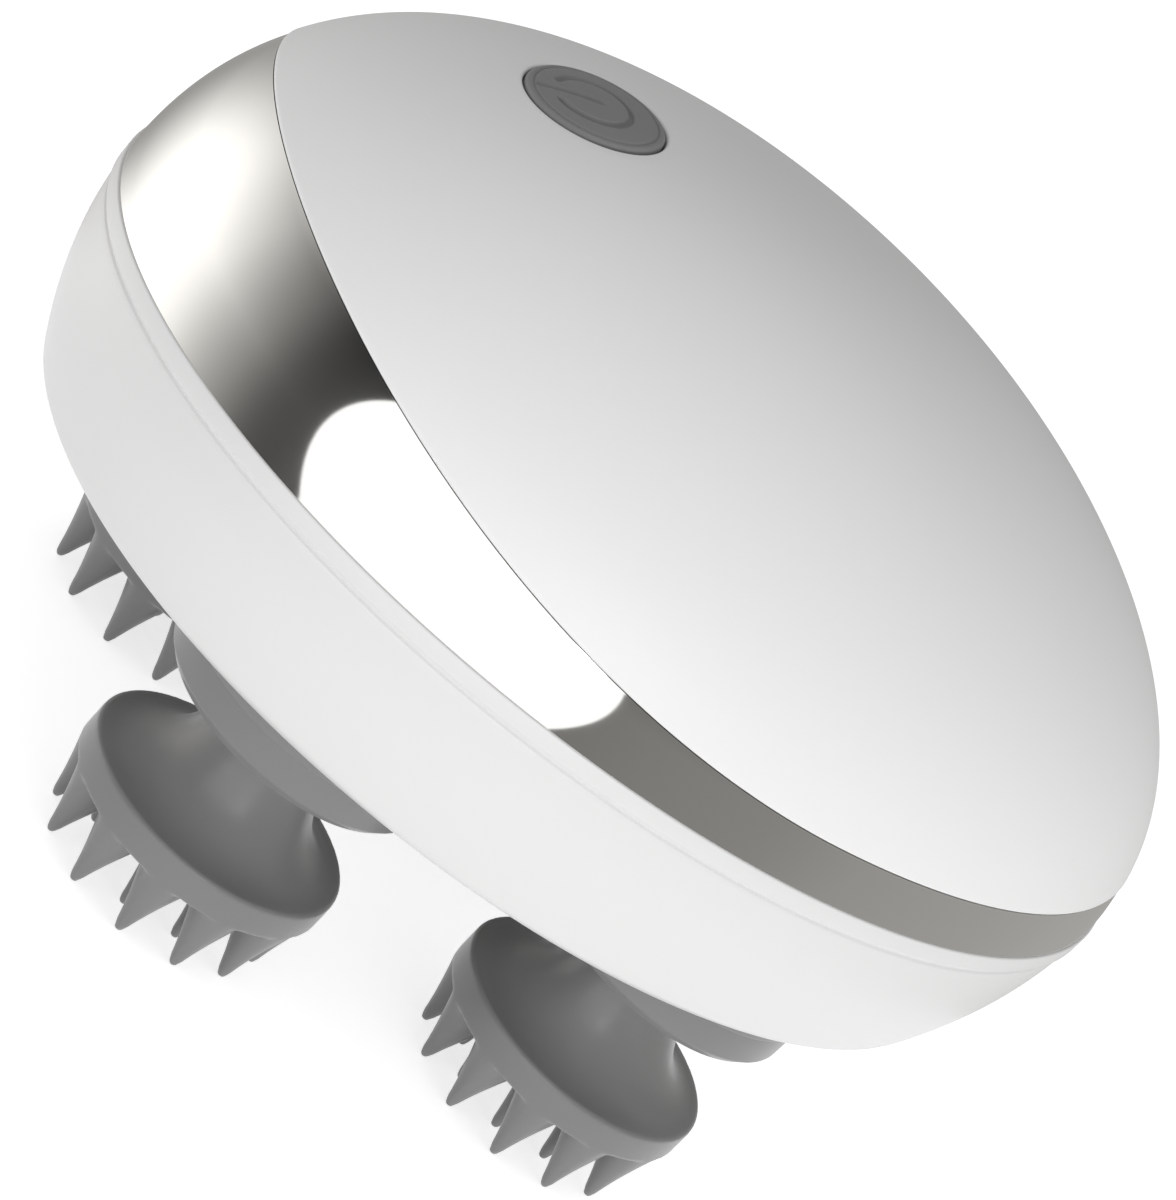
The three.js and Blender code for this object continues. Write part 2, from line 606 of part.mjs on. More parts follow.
function portCover(outerShell) {
  const cap = pill(PLUG_WIDTH, PLUG_HEIGHT, RECESS_Y + FIT_GAP, HALF_WIDTH + PAST).intersect(outerShell);
  const width = SOCKET_WIDTH - 2 * SOCKET_SKIN - 2 * FIT_GAP;
  const height = SOCKET_HEIGHT - 2 * SOCKET_SKIN - 2 * FIT_GAP;
  return cap.add(pill(width, height, RECESS_Y - PLUG_TONGUE, RECESS_Y + FIT_GAP + JOIN));
}

function sealRing() {
  return ovalRing(-WALL, -WALL + SEAL_WIDTH, SEAM_Z - SEAL_HEIGHT, SEAM_Z);
}

// One soft finger standing on its tip, splayed outwards along X
function finger(footRadius, splay, sides) {
  const middle = FINGER_LENGTH / 2;
  const middleRadius = FINGER_TIP_RADIUS + (footRadius - FINGER_TIP_RADIUS) * 0.5 ** FINGER_FLARE;
  const geometry = turned([
    [0, 0],
    [FINGER_TIP_RADIUS, 0],
    [middleRadius, middle],
    [footRadius, FINGER_LENGTH],
    [0, FINGER_LENGTH + JOIN],
  ], sides);
  const position = geometry.attributes.position;
  for (let point = 0; point < position.count; point += 1) {
    const height = Math.min(position.getZ(point), FINGER_LENGTH);
    position.setX(point, position.getX(point) - (splay * height) / FINGER_LENGTH);
  }
  return geometry;
}

function fingerRing(cup, { count, tipCircle, footRadius, splay, sides, turn }) {
  let joined = cup;
  for (let place = 0; place < count; place += 1) {
    const one = finger(footRadius, splay, sides).translate(tipCircle, 0, 0);
    const angle = THREE.MathUtils.degToRad(turn + (360 * place) / count);
    joined = joined.add(solid(one.rotateZ(angle)));
  }
  return joined;
}

// The soft cup: a trumpet from its neck to a banded rim, hollow over its core, fingers below
function massageCup() {
  const cavity = CORE_RADIUS + FIT_GAP;
  const floorTop = FINGER_LENGTH + CUP_FLOOR;
  const neckInner = CORE_HUB_RADIUS + FIT_GAP;
  const edgeTop = floorTop + CORE_EDGE + 2 * FIT_GAP;
  const trumpetRadius = CUP_RADIUS - CUP_RIM_ROUND;
  const profile = [[0, FINGER_LENGTH], [CUP_RADIUS - CUP_RIM_ROUND, FINGER_LENGTH]];
  profile.push([CUP_RADIUS, FINGER_LENGTH + CUP_RIM_ROUND]);
  profile.push([CUP_RADIUS, RIM_TOP_Z - CUP_RIM_ROUND]);
  for (let row = CUP_ROWS; row >= 0; row -= 1) {
    const turn = (row * Math.PI) / (2 * CUP_ROWS);
    const radius = trumpetRadius - (trumpetRadius - CUP_NECK_RADIUS) * Math.cos(turn);
    profile.push([radius, NECK_Z - CUP_RISE * Math.sin(turn)]);
  }
  profile.push([neckInner, NECK_Z]);
  profile.push([neckInner, edgeTop + CORE_CONE]);
  profile.push([cavity, edgeTop]);
  profile.push([cavity, floorTop]);
  profile.push([0, floorTop]);
  const outer = {
    count: OUTER_FINGERS,
    tipCircle: OUTER_TIP_CIRCLE,
    footRadius: OUTER_FOOT_RADIUS,
    splay: OUTER_TIP_CIRCLE - (CUP_RADIUS - OUTER_FOOT_RADIUS),
    sides: OUTER_FINGER_SIDES,
    turn: 0,
  };
  const inner = {
    count: INNER_FINGERS,
    tipCircle: INNER_TIP_CIRCLE,
    footRadius: INNER_FOOT_RADIUS,
    splay: 0,
    sides: INNER_FINGER_SIDES,
    turn: INNER_TURN,
  };
  const fingered = fingerRing(fingerRing(solid(turned(profile, LARGE_SIDES)), outer), inner);
  return fingered.add(solid(finger(INNER_FOOT_RADIUS, 0, INNER_FINGER_SIDES)));
}

function cupCore() {
  const low = FINGER_LENGTH + CUP_FLOOR + FIT_GAP;
  const bore = SPINDLE_RADIUS + FIT_GAP;
  const boreLow = low + CORE_EDGE + CORE_CONE / 2;
  return turned([
    [0, low],
    [CORE_RADIUS, low],
    [CORE_RADIUS, low + CORE_EDGE],
    [CORE_HUB_RADIUS, low + CORE_EDGE + CORE_CONE],
    [CORE_HUB_RADIUS, NECK_Z],
    [bore, NECK_Z],
    [bore, boreLow],
    [0, boreLow],
  ]);
}

function spindle() {
  const low = FINGER_LENGTH + CUP_FLOOR + CORE_EDGE + CORE_CONE / 2 + 2 * FIT_GAP;
  return rod(SPINDLE_RADIUS, low, DECK_TOP_Z - FIT_GAP);
}

function skirt() {
  const hole = SPINDLE_RADIUS + 2 * FIT_GAP;
  const cavity = HEAD_BOSS_RADIUS + FIT_GAP;
  return turned([
    [hole, SKIRT_Z],
    [SKIRT_BOTTOM_RADIUS, SKIRT_Z],
    [SKIRT_WALL_RADIUS, SKIRT_Z + SKIRT_BEVEL],
    [SKIRT_TOP_RADIUS, FLOOR_Z],
    [cavity, FLOOR_Z],
    [cavity, SKIRT_Z + SKIRT_SKIN],
    [hole, SKIRT_Z + SKIRT_SKIN],
    [hole, SKIRT_Z],
  ], LARGE_SIDES);
}

function bush() {
  const bore = SPINDLE_RADIUS + RUN_GAP;
  const low = SKIRT_Z + SKIRT_SKIN + 2 * FIT_GAP;
  return turned([
    [bore, low],
    [BUSH_RADIUS, low],
    [BUSH_RADIUS, FLOOR_TOP_Z],
    [BUSH_FLANGE_RADIUS, FLOOR_TOP_Z],
    [BUSH_FLANGE_RADIUS, FLOOR_TOP_Z + BUSH_FLANGE],
    [bore, FLOOR_TOP_Z + BUSH_FLANGE],
    [bore, low],
  ]);
}

// Angle by which an involute has unrolled at a radius
const involute = (pressure) => Math.tan(pressure) - pressure;

// The outline of a spur gear with a round bore, one tooth centred on the given angle
function gearShape(teeth, bore, phase) {
  const pitch = pitchRadius(teeth);
  const base = pitch * Math.cos(PRESSURE_ANGLE);
  const root = pitch - DEDENDUM * MODULE;
  const tip = pitch + ADDENDUM * MODULE;
  const halfTooth = Math.PI / (2 * teeth) - TOOTH_SLACK / (2 * pitch) + involute(PRESSURE_ANGLE);
  const flank = [root, Math.max(base, (root + tip) / 2), tip].map((radius) => {
    const pressure = Math.acos(Math.min(1, base / radius));
    return { radius, angle: halfTooth - involute(pressure) };
  });
  const outline = [];
  for (let tooth = 0; tooth < teeth; tooth += 1) {
    const middle = phase + (2 * Math.PI * tooth) / teeth;
    const rising = flank.map(({ radius, angle }) => [radius, middle - angle]);
    const falling = flank.map(({ radius, angle }) => [radius, middle + angle]).reverse();
    outline.push(...rising, ...falling);
  }
  const points = outline.map(([radius, angle]) => {
    return new THREE.Vector2(radius * Math.cos(angle), radius * Math.sin(angle));
  });
  const shape = new THREE.Shape(points);
  const hole = new THREE.Path();
  hole.absarc(0, 0, bore, 0, 2 * Math.PI, true);
  shape.holes.push(hole);
  return shape;
}

// The angle of a follower's tooth that meshes with the sun gear, which has a tooth on +X
function meshPhase(direction, teeth) {
  return direction * (1 + SUN_TEETH / teeth) + Math.PI + Math.PI / teeth;
}

function sunGear() {
  const bore = AXLE_RADIUS + RUN_GAP;
  const wheel = solid(plate(gearShape(SUN_TEETH, bore, 0), GEAR_Z, GEAR_TOP_Z));
  const hubLow = FLOOR_TOP_Z + AXLE_BOSS_HEIGHT + FIT_GAP;
  const hub = solid(tube(bore, SUN_HUB_RADIUS, hubLow, DECK_Z - FIT_GAP));
  const webOuter = pitchRadius(SUN_TEETH) - DEDENDUM * MODULE - SUN_RIM;
  const web = tube(SUN_HUB_RADIUS, webOuter, GEAR_TOP_Z - SUN_WEB_DEPTH, GEAR_TOP_Z + PAST);
  return wheel.subtract(solid(web)).add(hub);
}

function deck() {
  const outline = new THREE.Shape();
  outline.absellipse(0, 0, DECK_HALF_LENGTH, DECK_HALF_WIDTH, 0, 2 * Math.PI, false, 0);
  let body = solid(plate(outline, DECK_Z, DECK_TOP_Z, INNER_SIDES / 2));
  const drill = (x, y, radius, sides) => {
    const hole = rod(radius, DECK_Z - PAST, DECK_TOP_Z + PAST, sides).translate(x, y, 0);
    body = body.subtract(solid(hole));
  };
  HEADS.forEach(({ x, y }) => drill(x, y, SPINDLE_RADIUS + RUN_GAP, ROUND_SIDES));
  CASE_SCREWS.forEach(([x, y]) => drill(x, y, CASE_POST_RADIUS + FIT_GAP, SMALL_SIDES));
  DECK_SCREWS.forEach(([x, y]) => drill(x, y, SMALL_SCREW_RADIUS + FIT_GAP, SMALL_SIDES));
  drill(0, 0, AXLE_RADIUS + FIT_GAP, ROUND_SIDES);
  drill(MOTOR_X, 0, GEARBOX_BOSS_RADIUS + FIT_GAP, ROUND_SIDES);
  for (const side of [-1, 1]) {
    drill(MOTOR_X, side * MOTOR_SCREW_OFFSET, SMALL_SCREW_RADIUS + FIT_GAP, SMALL_SIDES);
  }
  const notchLow = BOARD_Y - FIT_GAP;
  const notchDepth = DECK_HALF_WIDTH + PAST - notchLow;
  const notchWidth = BOARD_WIDTH + 2 * FIT_GAP;
  const notchHeight = DECK_THICKNESS + 2 * PAST;
  const notchY = notchLow + notchDepth / 2;
  const notchZ = (DECK_Z + DECK_TOP_Z) / 2;
  const notch = block(notchWidth, notchDepth, notchHeight, 0, notchY, notchZ);
  return body.subtract(solid(notch));
}

// A pan-head screw along Z, its shank running from the head's seat to its end
function screw(radius, headRadius, seat, end) {
  const up = Math.sign(end - seat);
  const crown = seat - up * SCREW_HEAD;
  const profile = [
    [0, end],
    [radius, end],
    [radius, seat],
    [headRadius, seat],
    [headRadius * SCREW_CROWN, crown],
    [0, crown],
  ];
  return turned(up > 0 ? profile.reverse() : profile, SMALL_SIDES);
}

function gearbox() {
  const low = DECK_TOP_Z;
  const high = low + GEARBOX_HEIGHT;
  const bore = MOTOR_SHAFT_RADIUS + RUN_GAP;
  const boreTop = high - WALL;
  let body = solid(turned([
    [bore, DECK_Z + FIT_GAP],
    [GEARBOX_BOSS_RADIUS, DECK_Z + FIT_GAP],
    [GEARBOX_BOSS_RADIUS, low],
    [GEARBOX_RADIUS, low],
    [GEARBOX_RADIUS, high],
    [0, high],
    [0, boreTop],
    [bore, boreTop],
    [bore, DECK_Z + FIT_GAP],
  ]));
  for (const side of [-1, 1]) {
    const pilotTop = low + SMALL_SCREW_BITE + FIT_GAP;
    const pilot = rod(SMALL_SCREW_RADIUS + FIT_GAP, low - PAST, pilotTop, SMALL_SIDES);
    body = body.subtract(solid(pilot.translate(0, side * MOTOR_SCREW_OFFSET, 0)));
  }
  return body;
}

function motorCan() {
  let body = solid(turned([
    [0, MOTOR_Z],
    [MOTOR_RADIUS, MOTOR_Z],
    [MOTOR_RADIUS, MOTOR_TOP_Z - MOTOR_EDGE],
    [MOTOR_RADIUS - MOTOR_EDGE, MOTOR_TOP_Z],
    [MOTOR_CAP_RADIUS, MOTOR_TOP_Z],
    [MOTOR_CAP_RADIUS, MOTOR_TOP_Z + MOTOR_CAP_HEIGHT],
    [0, MOTOR_TOP_Z + MOTOR_CAP_HEIGHT],
  ]));
  for (const side of [-1, 1]) {
    const height = TERMINAL_HEIGHT + JOIN;
    const terminal = block(TERMINAL_THICKNESS, TERMINAL_WIDTH, height, 0, 0, MOTOR_TOP_Z - JOIN + height / 2);
    body = body.add(solid(terminal.translate(-TERMINAL_OFFSET, side * TERMINAL_OFFSET, 0)));
  }
  return body;
}

function batteryCradle() {
  const outer = 2 * (BATTERY_RADIUS + FIT_GAP + CRADLE_WALL);
  const low = DECK_TOP_Z;
  const tray = block(outer, CRADLE_LENGTH, CRADLE_HEIGHT, BATTERY_X, 0, low + CRADLE_HEIGHT / 2);
  return solid(tray).subtract(solid(batteryRod(BATTERY_RADIUS + FIT_GAP, CRADLE_LENGTH + 2 * PAST)));
}

function batteryRod(radius, length) {
  const lying = rod(radius, -length / 2, length / 2).rotateX(Math.PI / 2);
  return lying.translate(BATTERY_X, 0, BATTERY_Z);
}

function batteryCell() {
  const can = BATTERY_LENGTH - BATTERY_POLE;
  const body = solid(batteryRod(BATTERY_RADIUS, can));
  const pole = rod(BATTERY_POLE_RADIUS, can / 2 - JOIN, can / 2 + BATTERY_POLE, SMALL_SIDES);
  return body.add(solid(pole.rotateX(-Math.PI / 2).translate(BATTERY_X, 0, BATTERY_Z)));
}

function mainBoard() {
  const middleY = BOARD_Y + BOARD_THICKNESS / 2;
  const middleZ = BOARD_Z + BOARD_HEIGHT / 2;
  let board = solid(block(BOARD_WIDTH, BOARD_THICKNESS, BOARD_HEIGHT, 0, middleY, middleZ));
  for (const { width, depth, height, x, z } of CHIPS) {
    const thickness = depth * BOARD_WIDTH;
    const chip = block(width * BOARD_WIDTH, thickness + JOIN, height * BOARD_WIDTH, 0, 0, 0);
    chip.translate(x * BOARD_WIDTH, BOARD_FRONT_Y + (thickness - JOIN) / 2, BOARD_Z + z * BOARD_WIDTH);
    board = board.add(solid(chip));
  }
  return board;
}

function powerButton() {
  const edge = BUTTON_PROUD - BUTTON_CROWN;
  const profile = [
    [0, BUTTON_STEM_LOW],
    [BUTTON_STEM_RADIUS, BUTTON_STEM_LOW],
    [BUTTON_STEM_RADIUS, BUTTON_FLANGE_LOW],
    [BUTTON_RADIUS + BUTTON_FLANGE_WIDTH, BUTTON_FLANGE_LOW],
    [BUTTON_RADIUS + BUTTON_FLANGE_WIDTH, BUTTON_FLANGE_TOP],
    [BUTTON_RADIUS, BUTTON_FLANGE_TOP],
    [BUTTON_RADIUS, edge - BUTTON_EDGE],
  ];
  for (let row = CROWN_ROWS; row >= 0; row -= 1) {
    const share = row / CROWN_ROWS;
    profile.push([(BUTTON_RADIUS - BUTTON_EDGE) * share, edge + BUTTON_CROWN * (1 - share ** 2)]);
  }
  return turned(profile, LARGE_SIDES);
}

function tactSwitch() {
  const middle = BUTTON_BOARD_TOP + SWITCH_HEIGHT / 2;
  const base = solid(block(SWITCH_SIZE, SWITCH_SIZE, SWITCH_HEIGHT, 0, 0, middle));
  return base.add(solid(rod(SWITCH_CAP_RADIUS, SWITCH_TOP - JOIN, SWITCH_CAP_TOP, SMALL_SIDES)));
}

// An insulated lead along a smooth route
function lead(route) {
  const section = new THREE.Shape();
  section.absarc(0, 0, LEAD_RADIUS, 0, 2 * Math.PI, false);
  const extrudePath = new THREE.CatmullRomCurve3(route);
  const options = { steps: LEAD_STEPS, bevelEnabled: false, curveSegments: SMALL_SIDES / 2, extrudePath };
  return new THREE.ExtrudeGeometry(section, options);
}

// The last two points of a lead's route, square to the back of the board
function leadEnd(x, height) {
  const end = new THREE.Vector3(x, BOARD_Y - FIT_GAP, BOARD_Z + height);
  return [end.clone().setY(end.y - LEAD_STRAIGHT), end];
}

function batteryLead() {
  const start = new THREE.Vector3(BATTERY_X, BATTERY_LENGTH / 2 + BATTERY_POLE / 2 + FIT_GAP, BATTERY_Z);
  const out = start.clone().setY(start.y + LEAD_STRAIGHT / 2);
  return lead([start, out, ...leadEnd(BATTERY_LEAD_X, BATTERY_LEAD_HEIGHT)]);
}

function motorLead() {
  const y = TERMINAL_OFFSET + TERMINAL_WIDTH / 2 + FIT_GAP;
  const start = new THREE.Vector3(MOTOR_X - TERMINAL_OFFSET, y, MOTOR_TOP_Z + TERMINAL_HEIGHT - LEAD_RADIUS);
  const over = start.clone().setY(MOTOR_RADIUS + LEAD_STRAIGHT);
  return lead([start, over, ...leadEnd(MOTOR_LEAD_X, MOTOR_LEAD_HEIGHT)]);
}

function buttonLead() {
  const under = (depth) => new THREE.Vector3(0, BUTTON_LEAD_Y, BUTTON_BOARD_LOW - depth);
  const start = buttonGroup.localToWorld(under(FIT_GAP));
  const below = buttonGroup.localToWorld(under(LEAD_STRAIGHT));
  const batteryEnd = BATTERY_LENGTH / 2;
  const beside = new THREE.Vector3(BATTERY_X - BATTERY_RADIUS, batteryEnd - LEAD_STRAIGHT, below.z);
  const round = new THREE.Vector3(BATTERY_X, batteryEnd + LEAD_STRAIGHT, BATTERY_Z + 2 * LEAD_STRAIGHT);
  return lead([start, below, beside, round, ...leadEnd(BUTTON_LEAD_X, BUTTON_LEAD_HEIGHT)]);
}

function buildHousing() {
  const outer = dome(0, DOME_ROWS, OVAL_SIDES);
  const inner = dome(WALL, INNER_ROWS, INNER_SIDES, 1);
  addPart('top_shell', topShell(outer, inner), PEARL);
  addPart('trim_band', outer.subtract(inner).subtract(aboveTrim(-SEAM_GAP / 2)), CHROME);
  addPart('lower_shell', lowerShell(), WHITE);
  addPart('housing_seal', sealRing(), RUBBER);
  for (const { number, x, y } of HEADS) {
    addPart(`skirt_${number}`, skirt(), SILICONE).position.set(x, y, 0);
    addPart(`spindle_bush_${number}`, bush(), BRONZE).position.set(x, y, 0);
  }
}

function buildInside() {
  addPart('deck', deck(), BLACK_PLASTIC);
  addPart('sun_axle', rod(AXLE_RADIUS, FLOOR_Z + FLOOR / 2 + FIT_GAP, DECK_TOP_Z - FIT_GAP), STEEL);
  addPart('gearbox', gearbox(), BLACK_PLASTIC).position.x = MOTOR_X;
  addPart('motor_can', motorCan(), STEEL).position.x = MOTOR_X;
  addPart('battery_cradle', batteryCradle(), BLACK_PLASTIC);
  addPart('battery_cell', batteryCell(), CELL_WRAP);
  addPart('main_board', mainBoard(), BOARD_GREEN);
  addPart('charge_socket', chargeSocket(), STEEL);
  addPart('port_cover', portCover(lowerOuter()), WHITE);
  addPart('battery_lead', batteryLead(), RUBBER);
  addPart('motor_lead', motorLead(), RUBBER);
  addPart('button_lead', buttonLead(), RUBBER);
}

function buildScrews() {
  CASE_SCREWS.forEach(([x, y], place) => {
    const seat = CASE_SCREW_LOW_Z + SCREW_HEAD;
    const shape = screw(CASE_SCREW_RADIUS, CASE_SCREW_HEAD_RADIUS, seat, CASE_SCREW_TOP_Z);
    addPart(`case_screw_${place + 1}`, shape, STEEL).position.set(x, y, 0);
  });
  DECK_SCREWS.forEach(([x, y], place) => {
    const shape = screw(SMALL_SCREW_RADIUS, SMALL_SCREW_HEAD_RADIUS, DECK_TOP_Z, DECK_Z - SMALL_SCREW_BITE);
    addPart(`deck_screw_${place + 1}`, shape, STEEL).position.set(x, y, 0);
  });
  [1, -1].forEach((side, place) => {
    const shape = screw(SMALL_SCREW_RADIUS, SMALL_SCREW_HEAD_RADIUS, DECK_Z, DECK_TOP_Z + SMALL_SCREW_BITE);
    addPart(`motor_screw_${place + 1}`, shape, STEEL).position.set(MOTOR_X, side * MOTOR_SCREW_OFFSET, 0);
  });
}

function buildButton() {
  const sealLow = BUTTON_BOARD_TOP + FIT_GAP;
  addPart('power_button', powerButton(), SILICONE, buttonGroup);
  addPart('tact_switch', tactSwitch(), BLACK_PLASTIC, buttonGroup);
  const board = rod(BUTTON_WELL_OUTER, BUTTON_BOARD_LOW, BUTTON_BOARD_TOP);
  const seal = tube(BUTTON_SEAL_INNER, BUTTON_SEAL_OUTER, sealLow, BUTTON_FLANGE_TOP, LARGE_SIDES);
  addPart('button_board', board, BOARD_GREEN, buttonGroup);
  addPart('button_seal', seal, RUBBER, buttonGroup);
}

function buildDrive() {
  addPart('sun_gear', sunGear(), GEAR_PLASTIC);
  const pinion = gearShape(PINION_TEETH, MOTOR_SHAFT_RADIUS + RUN_GAP, meshPhase(0, PINION_TEETH));
  addPart('motor_pinion', plate(pinion, GEAR_Z - FIT_GAP, GEAR_TOP_Z + FIT_GAP), BRONZE).position.x = MOTOR_X;
  const shaftTop = MOTOR_Z - WALL - FIT_GAP;
  addPart('motor_shaft', rod(MOTOR_SHAFT_RADIUS, GEAR_Z - 2 * FIT_GAP, shaftTop), STEEL).position.x = MOTOR_X;
}

function buildHeads() {
  const cup = massageCup();
  for (const { number, x, y, turn } of HEADS) {
    const head = new THREE.Group();
    head.position.set(x, y, 0);
    massager.add(head);
    const phase = meshPhase(Math.atan2(y, x), OUTPUT_TEETH);
    const gear = plate(gearShape(OUTPUT_TEETH, SPINDLE_RADIUS + RUN_GAP, phase), GEAR_Z, GEAR_TOP_Z);
    addPart(`massage_cup_${number}`, cup.rotate([0, 0, turn]), SILICONE, head);
    addPart(`cup_core_${number}`, cupCore(), BLACK_PLASTIC, head);
    addPart(`spindle_${number}`, spindle(), STEEL, head);
    addPart(`output_gear_${number}`, gear, GEAR_PLASTIC, head);
  }
}

buildHousing();
buildInside();
buildScrews();
buildButton();
buildDrive();
buildHeads();

export default massager;
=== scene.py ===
import math

import bpy
import numpy as np
from mathutils import Matrix, Vector


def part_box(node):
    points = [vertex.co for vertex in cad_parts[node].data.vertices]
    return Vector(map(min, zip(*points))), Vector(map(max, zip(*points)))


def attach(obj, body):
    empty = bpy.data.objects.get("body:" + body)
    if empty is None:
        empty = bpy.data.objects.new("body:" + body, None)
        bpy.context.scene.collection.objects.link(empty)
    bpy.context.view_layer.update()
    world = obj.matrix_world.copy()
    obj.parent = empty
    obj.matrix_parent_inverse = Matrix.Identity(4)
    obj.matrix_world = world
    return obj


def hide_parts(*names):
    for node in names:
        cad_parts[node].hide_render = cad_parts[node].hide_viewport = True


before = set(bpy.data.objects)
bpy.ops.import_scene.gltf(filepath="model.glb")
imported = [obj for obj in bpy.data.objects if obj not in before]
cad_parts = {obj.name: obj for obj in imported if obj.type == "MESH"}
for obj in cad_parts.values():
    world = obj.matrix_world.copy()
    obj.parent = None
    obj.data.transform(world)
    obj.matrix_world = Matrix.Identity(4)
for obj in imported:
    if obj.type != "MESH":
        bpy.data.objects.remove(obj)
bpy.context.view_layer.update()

MM = 0.001

# Housing, in millimetres
HALF_LENGTH = 53.65  # of the trim band and of the foot of the dome
HALF_WIDTH = 43.15
LIP_PROUD = 0.22  # of the lip along the top of the lower shell
FLOOR_HALF_LENGTH = 48.8
FLOOR_HALF_WIDTH = 39.3
FLOOR_EDGE = 1.4  # rounding between the floor and the wall
FLOOR_ROW = 0.3  # from that rounding to the first row of points, which lies on the floor
FLOOR = 2
WALL = 2
SPINDLE_BORE = 4.3  # radius of the hole in the floor at each head
DOME_POWER = 2.11  # of the superellipse that the dome follows
DOME_LEAN = -6.3  # how far its top lies from the middle
TRIM_LOW = 4.65  # height of the trim where it is lowest
TRIM_TANGENT_X = 13.4  # where its upper edge starts to rise towards the button
TRIM_RADIUS = 200  # of the arc in which it rises
SEAM_GAP = 0.06
TRIM_SUNK = 0.18  # how far the trim lies below the cover at the seam
COVER_EDGE = 0.3  # rounding of the cover along the seam
HOLE_EDGE = 0.25  # rounding of the cover round the button
BEAD_HEIGHT = 1.5  # depth below the seam at which the lip starts to run out
BEAD_END = 1.85  # depth at which it meets the groove
BEAD_GROOVE = (0.2, 0.22)  # depth and half width of the fine groove under it

# Power button
BUTTON_X = -27.6
BUTTON_RADIUS = 6.2
BUTTON_GAP = 0.2
BUTTON_PROUD = 0.35
BUTTON_CROWN = 0.45
BUTTON_EDGE = 0.45
BUTTON_SKIRT = 3
BUTTON_FLANGE = 0.8
BUTTON_FLANGE_RADIUS = 7.2
BUTTON_STEM = 1.2
BUTTON_STEM_RADIUS = 1.6
RING_RADIUS = 5.5  # of the fine line near the button's edge
RING_DEPTH = 0.12
RING_WIDTH = 0.1
SIGN_RADIUS = 3.4
SIGN_X = -0.4
SIGN_OPEN = math.radians(30)  # half the opening of the power sign
SIGN_BAR = (-5, 0.3)  # where the bar starts and ends
SIGN_WIDTH = 0.95
SIGN_DEPTH = 0.36

# Massage heads
HEADS = range(1, 5)  # numbers of the heads, and of the case screws beside them
FINGERS = 12
INNER_FINGERS = 8
FINGER_LENGTH = 6.6
FINGER_TIP = 0.45
FINGER_FLARE = 1.25  # power with which a finger widens towards its foot
FINGER_START = 0.12  # share of the length at which the flare starts
FINGER_ROOT = 0.5  # how far a finger runs into the cup
OUTER_FOOT = 2.5
INNER_FOOT = 1.75
OUTER_CIRCLE = 10.6
INNER_CIRCLE = 6.8
INNER_TURN = math.radians(7.5)
NEAR_CUP_TURN = math.radians(11)  # of the two heads on the photo's side, at rest
CUP_RADIUS = 12.5
CUP_RIM = 3
CUP_RISE = 9
CUP_NECK = 5.4
CUP_BEVEL = 0.2  # at the rim's lower edge
CUP_ROUND = 0.3  # at its upper edge
CUP_INSET = 0.25  # of the trumpet from the rim's edge
CUP_FLOOR = 1.2
CORE_RADIUS = 9.3
CORE_HUB = 4.5
CORE_EDGE = 1.5
CORE_CONE = 1.5
CUP_FACES = 36000  # about the number of a head's faces
VOXEL = 0.2  # grid on which the cup and its fingers grow into one
SOFTEN_FACTOR = 0.5
SOFTEN_ROUNDS = 4

# Skirts
SKIRT_RADIUS = 13.1
SKIRT_WALL = 12.8
SKIRT_FOOT = 12.1
SKIRT_BEVEL = 0.9
SKIRT_ROUND = 0.3  # rounding of the two lower edges
SKIRT_STEP = (0.1, 1.1)  # foot of the step to the wider band: outset from the wall, drop from the floor
SKIRT_BAND_LOW = (0.05, 0.95)  # lower edge of that band: inset from its radius, drop from the floor
SKIRT_BAND_DROP = 0.85  # drop from the floor at which it reaches its radius
SKIRT_SKIN = 0.8
SKIRT_HOLE = 3.1
SKIRT_CAVITY = 6.8

# Plug of the charging socket
PLUG_WIDTH = 13
PLUG_HEIGHT = 6.4
PLUG_THICKNESS = 1.3
PLUG_EDGE = 0.3
PLUG_CORE = (1.2, 0.6)  # the small outline in the middle of its front and back
SOCKET_WIDTH = 9.6
SOCKET_HEIGHT = 3.8
FIT_GAP = 0.3
CUT_OVERLAP = 5  # how far a cutter runs past what it cuts

# Case screws
SCREW_HEAD = 2.3
SCREW_RADIUS = 1.2
SCREW_HEAD_HEIGHT = 1.3
SCREW_ROUND = 0.6  # rounding of the head
SCREW_TIP_LENGTH = 1
SCREW_TIP_RADIUS = 0.3
SCREW_RECESS = 0.8
SCREW_CHAMFER = 0.25  # of the recess in the floor
CROSS_LENGTH = 2.6
CROSS_WIDTH = 0.6
CROSS_DEPTH = 0.8

# Brightness of the studio walls as the bright trim sees them, by bearing in degrees from +X
WALLS = [
    (0, 0.42), (20, 0.43), (100, 0.34), (113, 0.35), (125, 0.58), (137, 1.04), (149, 1.65),
    (158, 1.85), (167, 1.65), (179, 1.1), (188, 0.6), (197, 0.3), (205, 0.08), (215, 0.08),
    (272, 0.24), (300, 0.27), (315, 0.35), (345, 0.4), (360, 0.42),
]
WALL_GLOW = 1.85  # the brightest of them, since a ramp holds no more than 1
WALL_TINT = (1, 0.985, 0.955)
WALL_FADE = (42, 100)  # heights between which the walls grow darker
WALL_FADE_LEFT = 0.45  # share of their brightness that is left above
WALL_RADIUS = 150
WALL_FOOT = 90  # the walls go on over the floor as far as this, so that the foot of the trim sees them
WALL_LOW = 0.5  # lower edge of the walls and of the soft box
WALL_TOP = 260

# Soft box in front of the walls: the long highlight on the trim
SOFT_BOX = (214.5, 272)  # bearings of its sides at their widest, in degrees
SOFT_BOX_BOW = 5
SOFT_BOX_MIDDLE = 5.8  # above the seam, where it is widest
SOFT_BOX_TOP = 56
SOFT_BOX_SHARE = 0.98  # of the walls' radius
SOFT_BOX_GLOW = 1.35

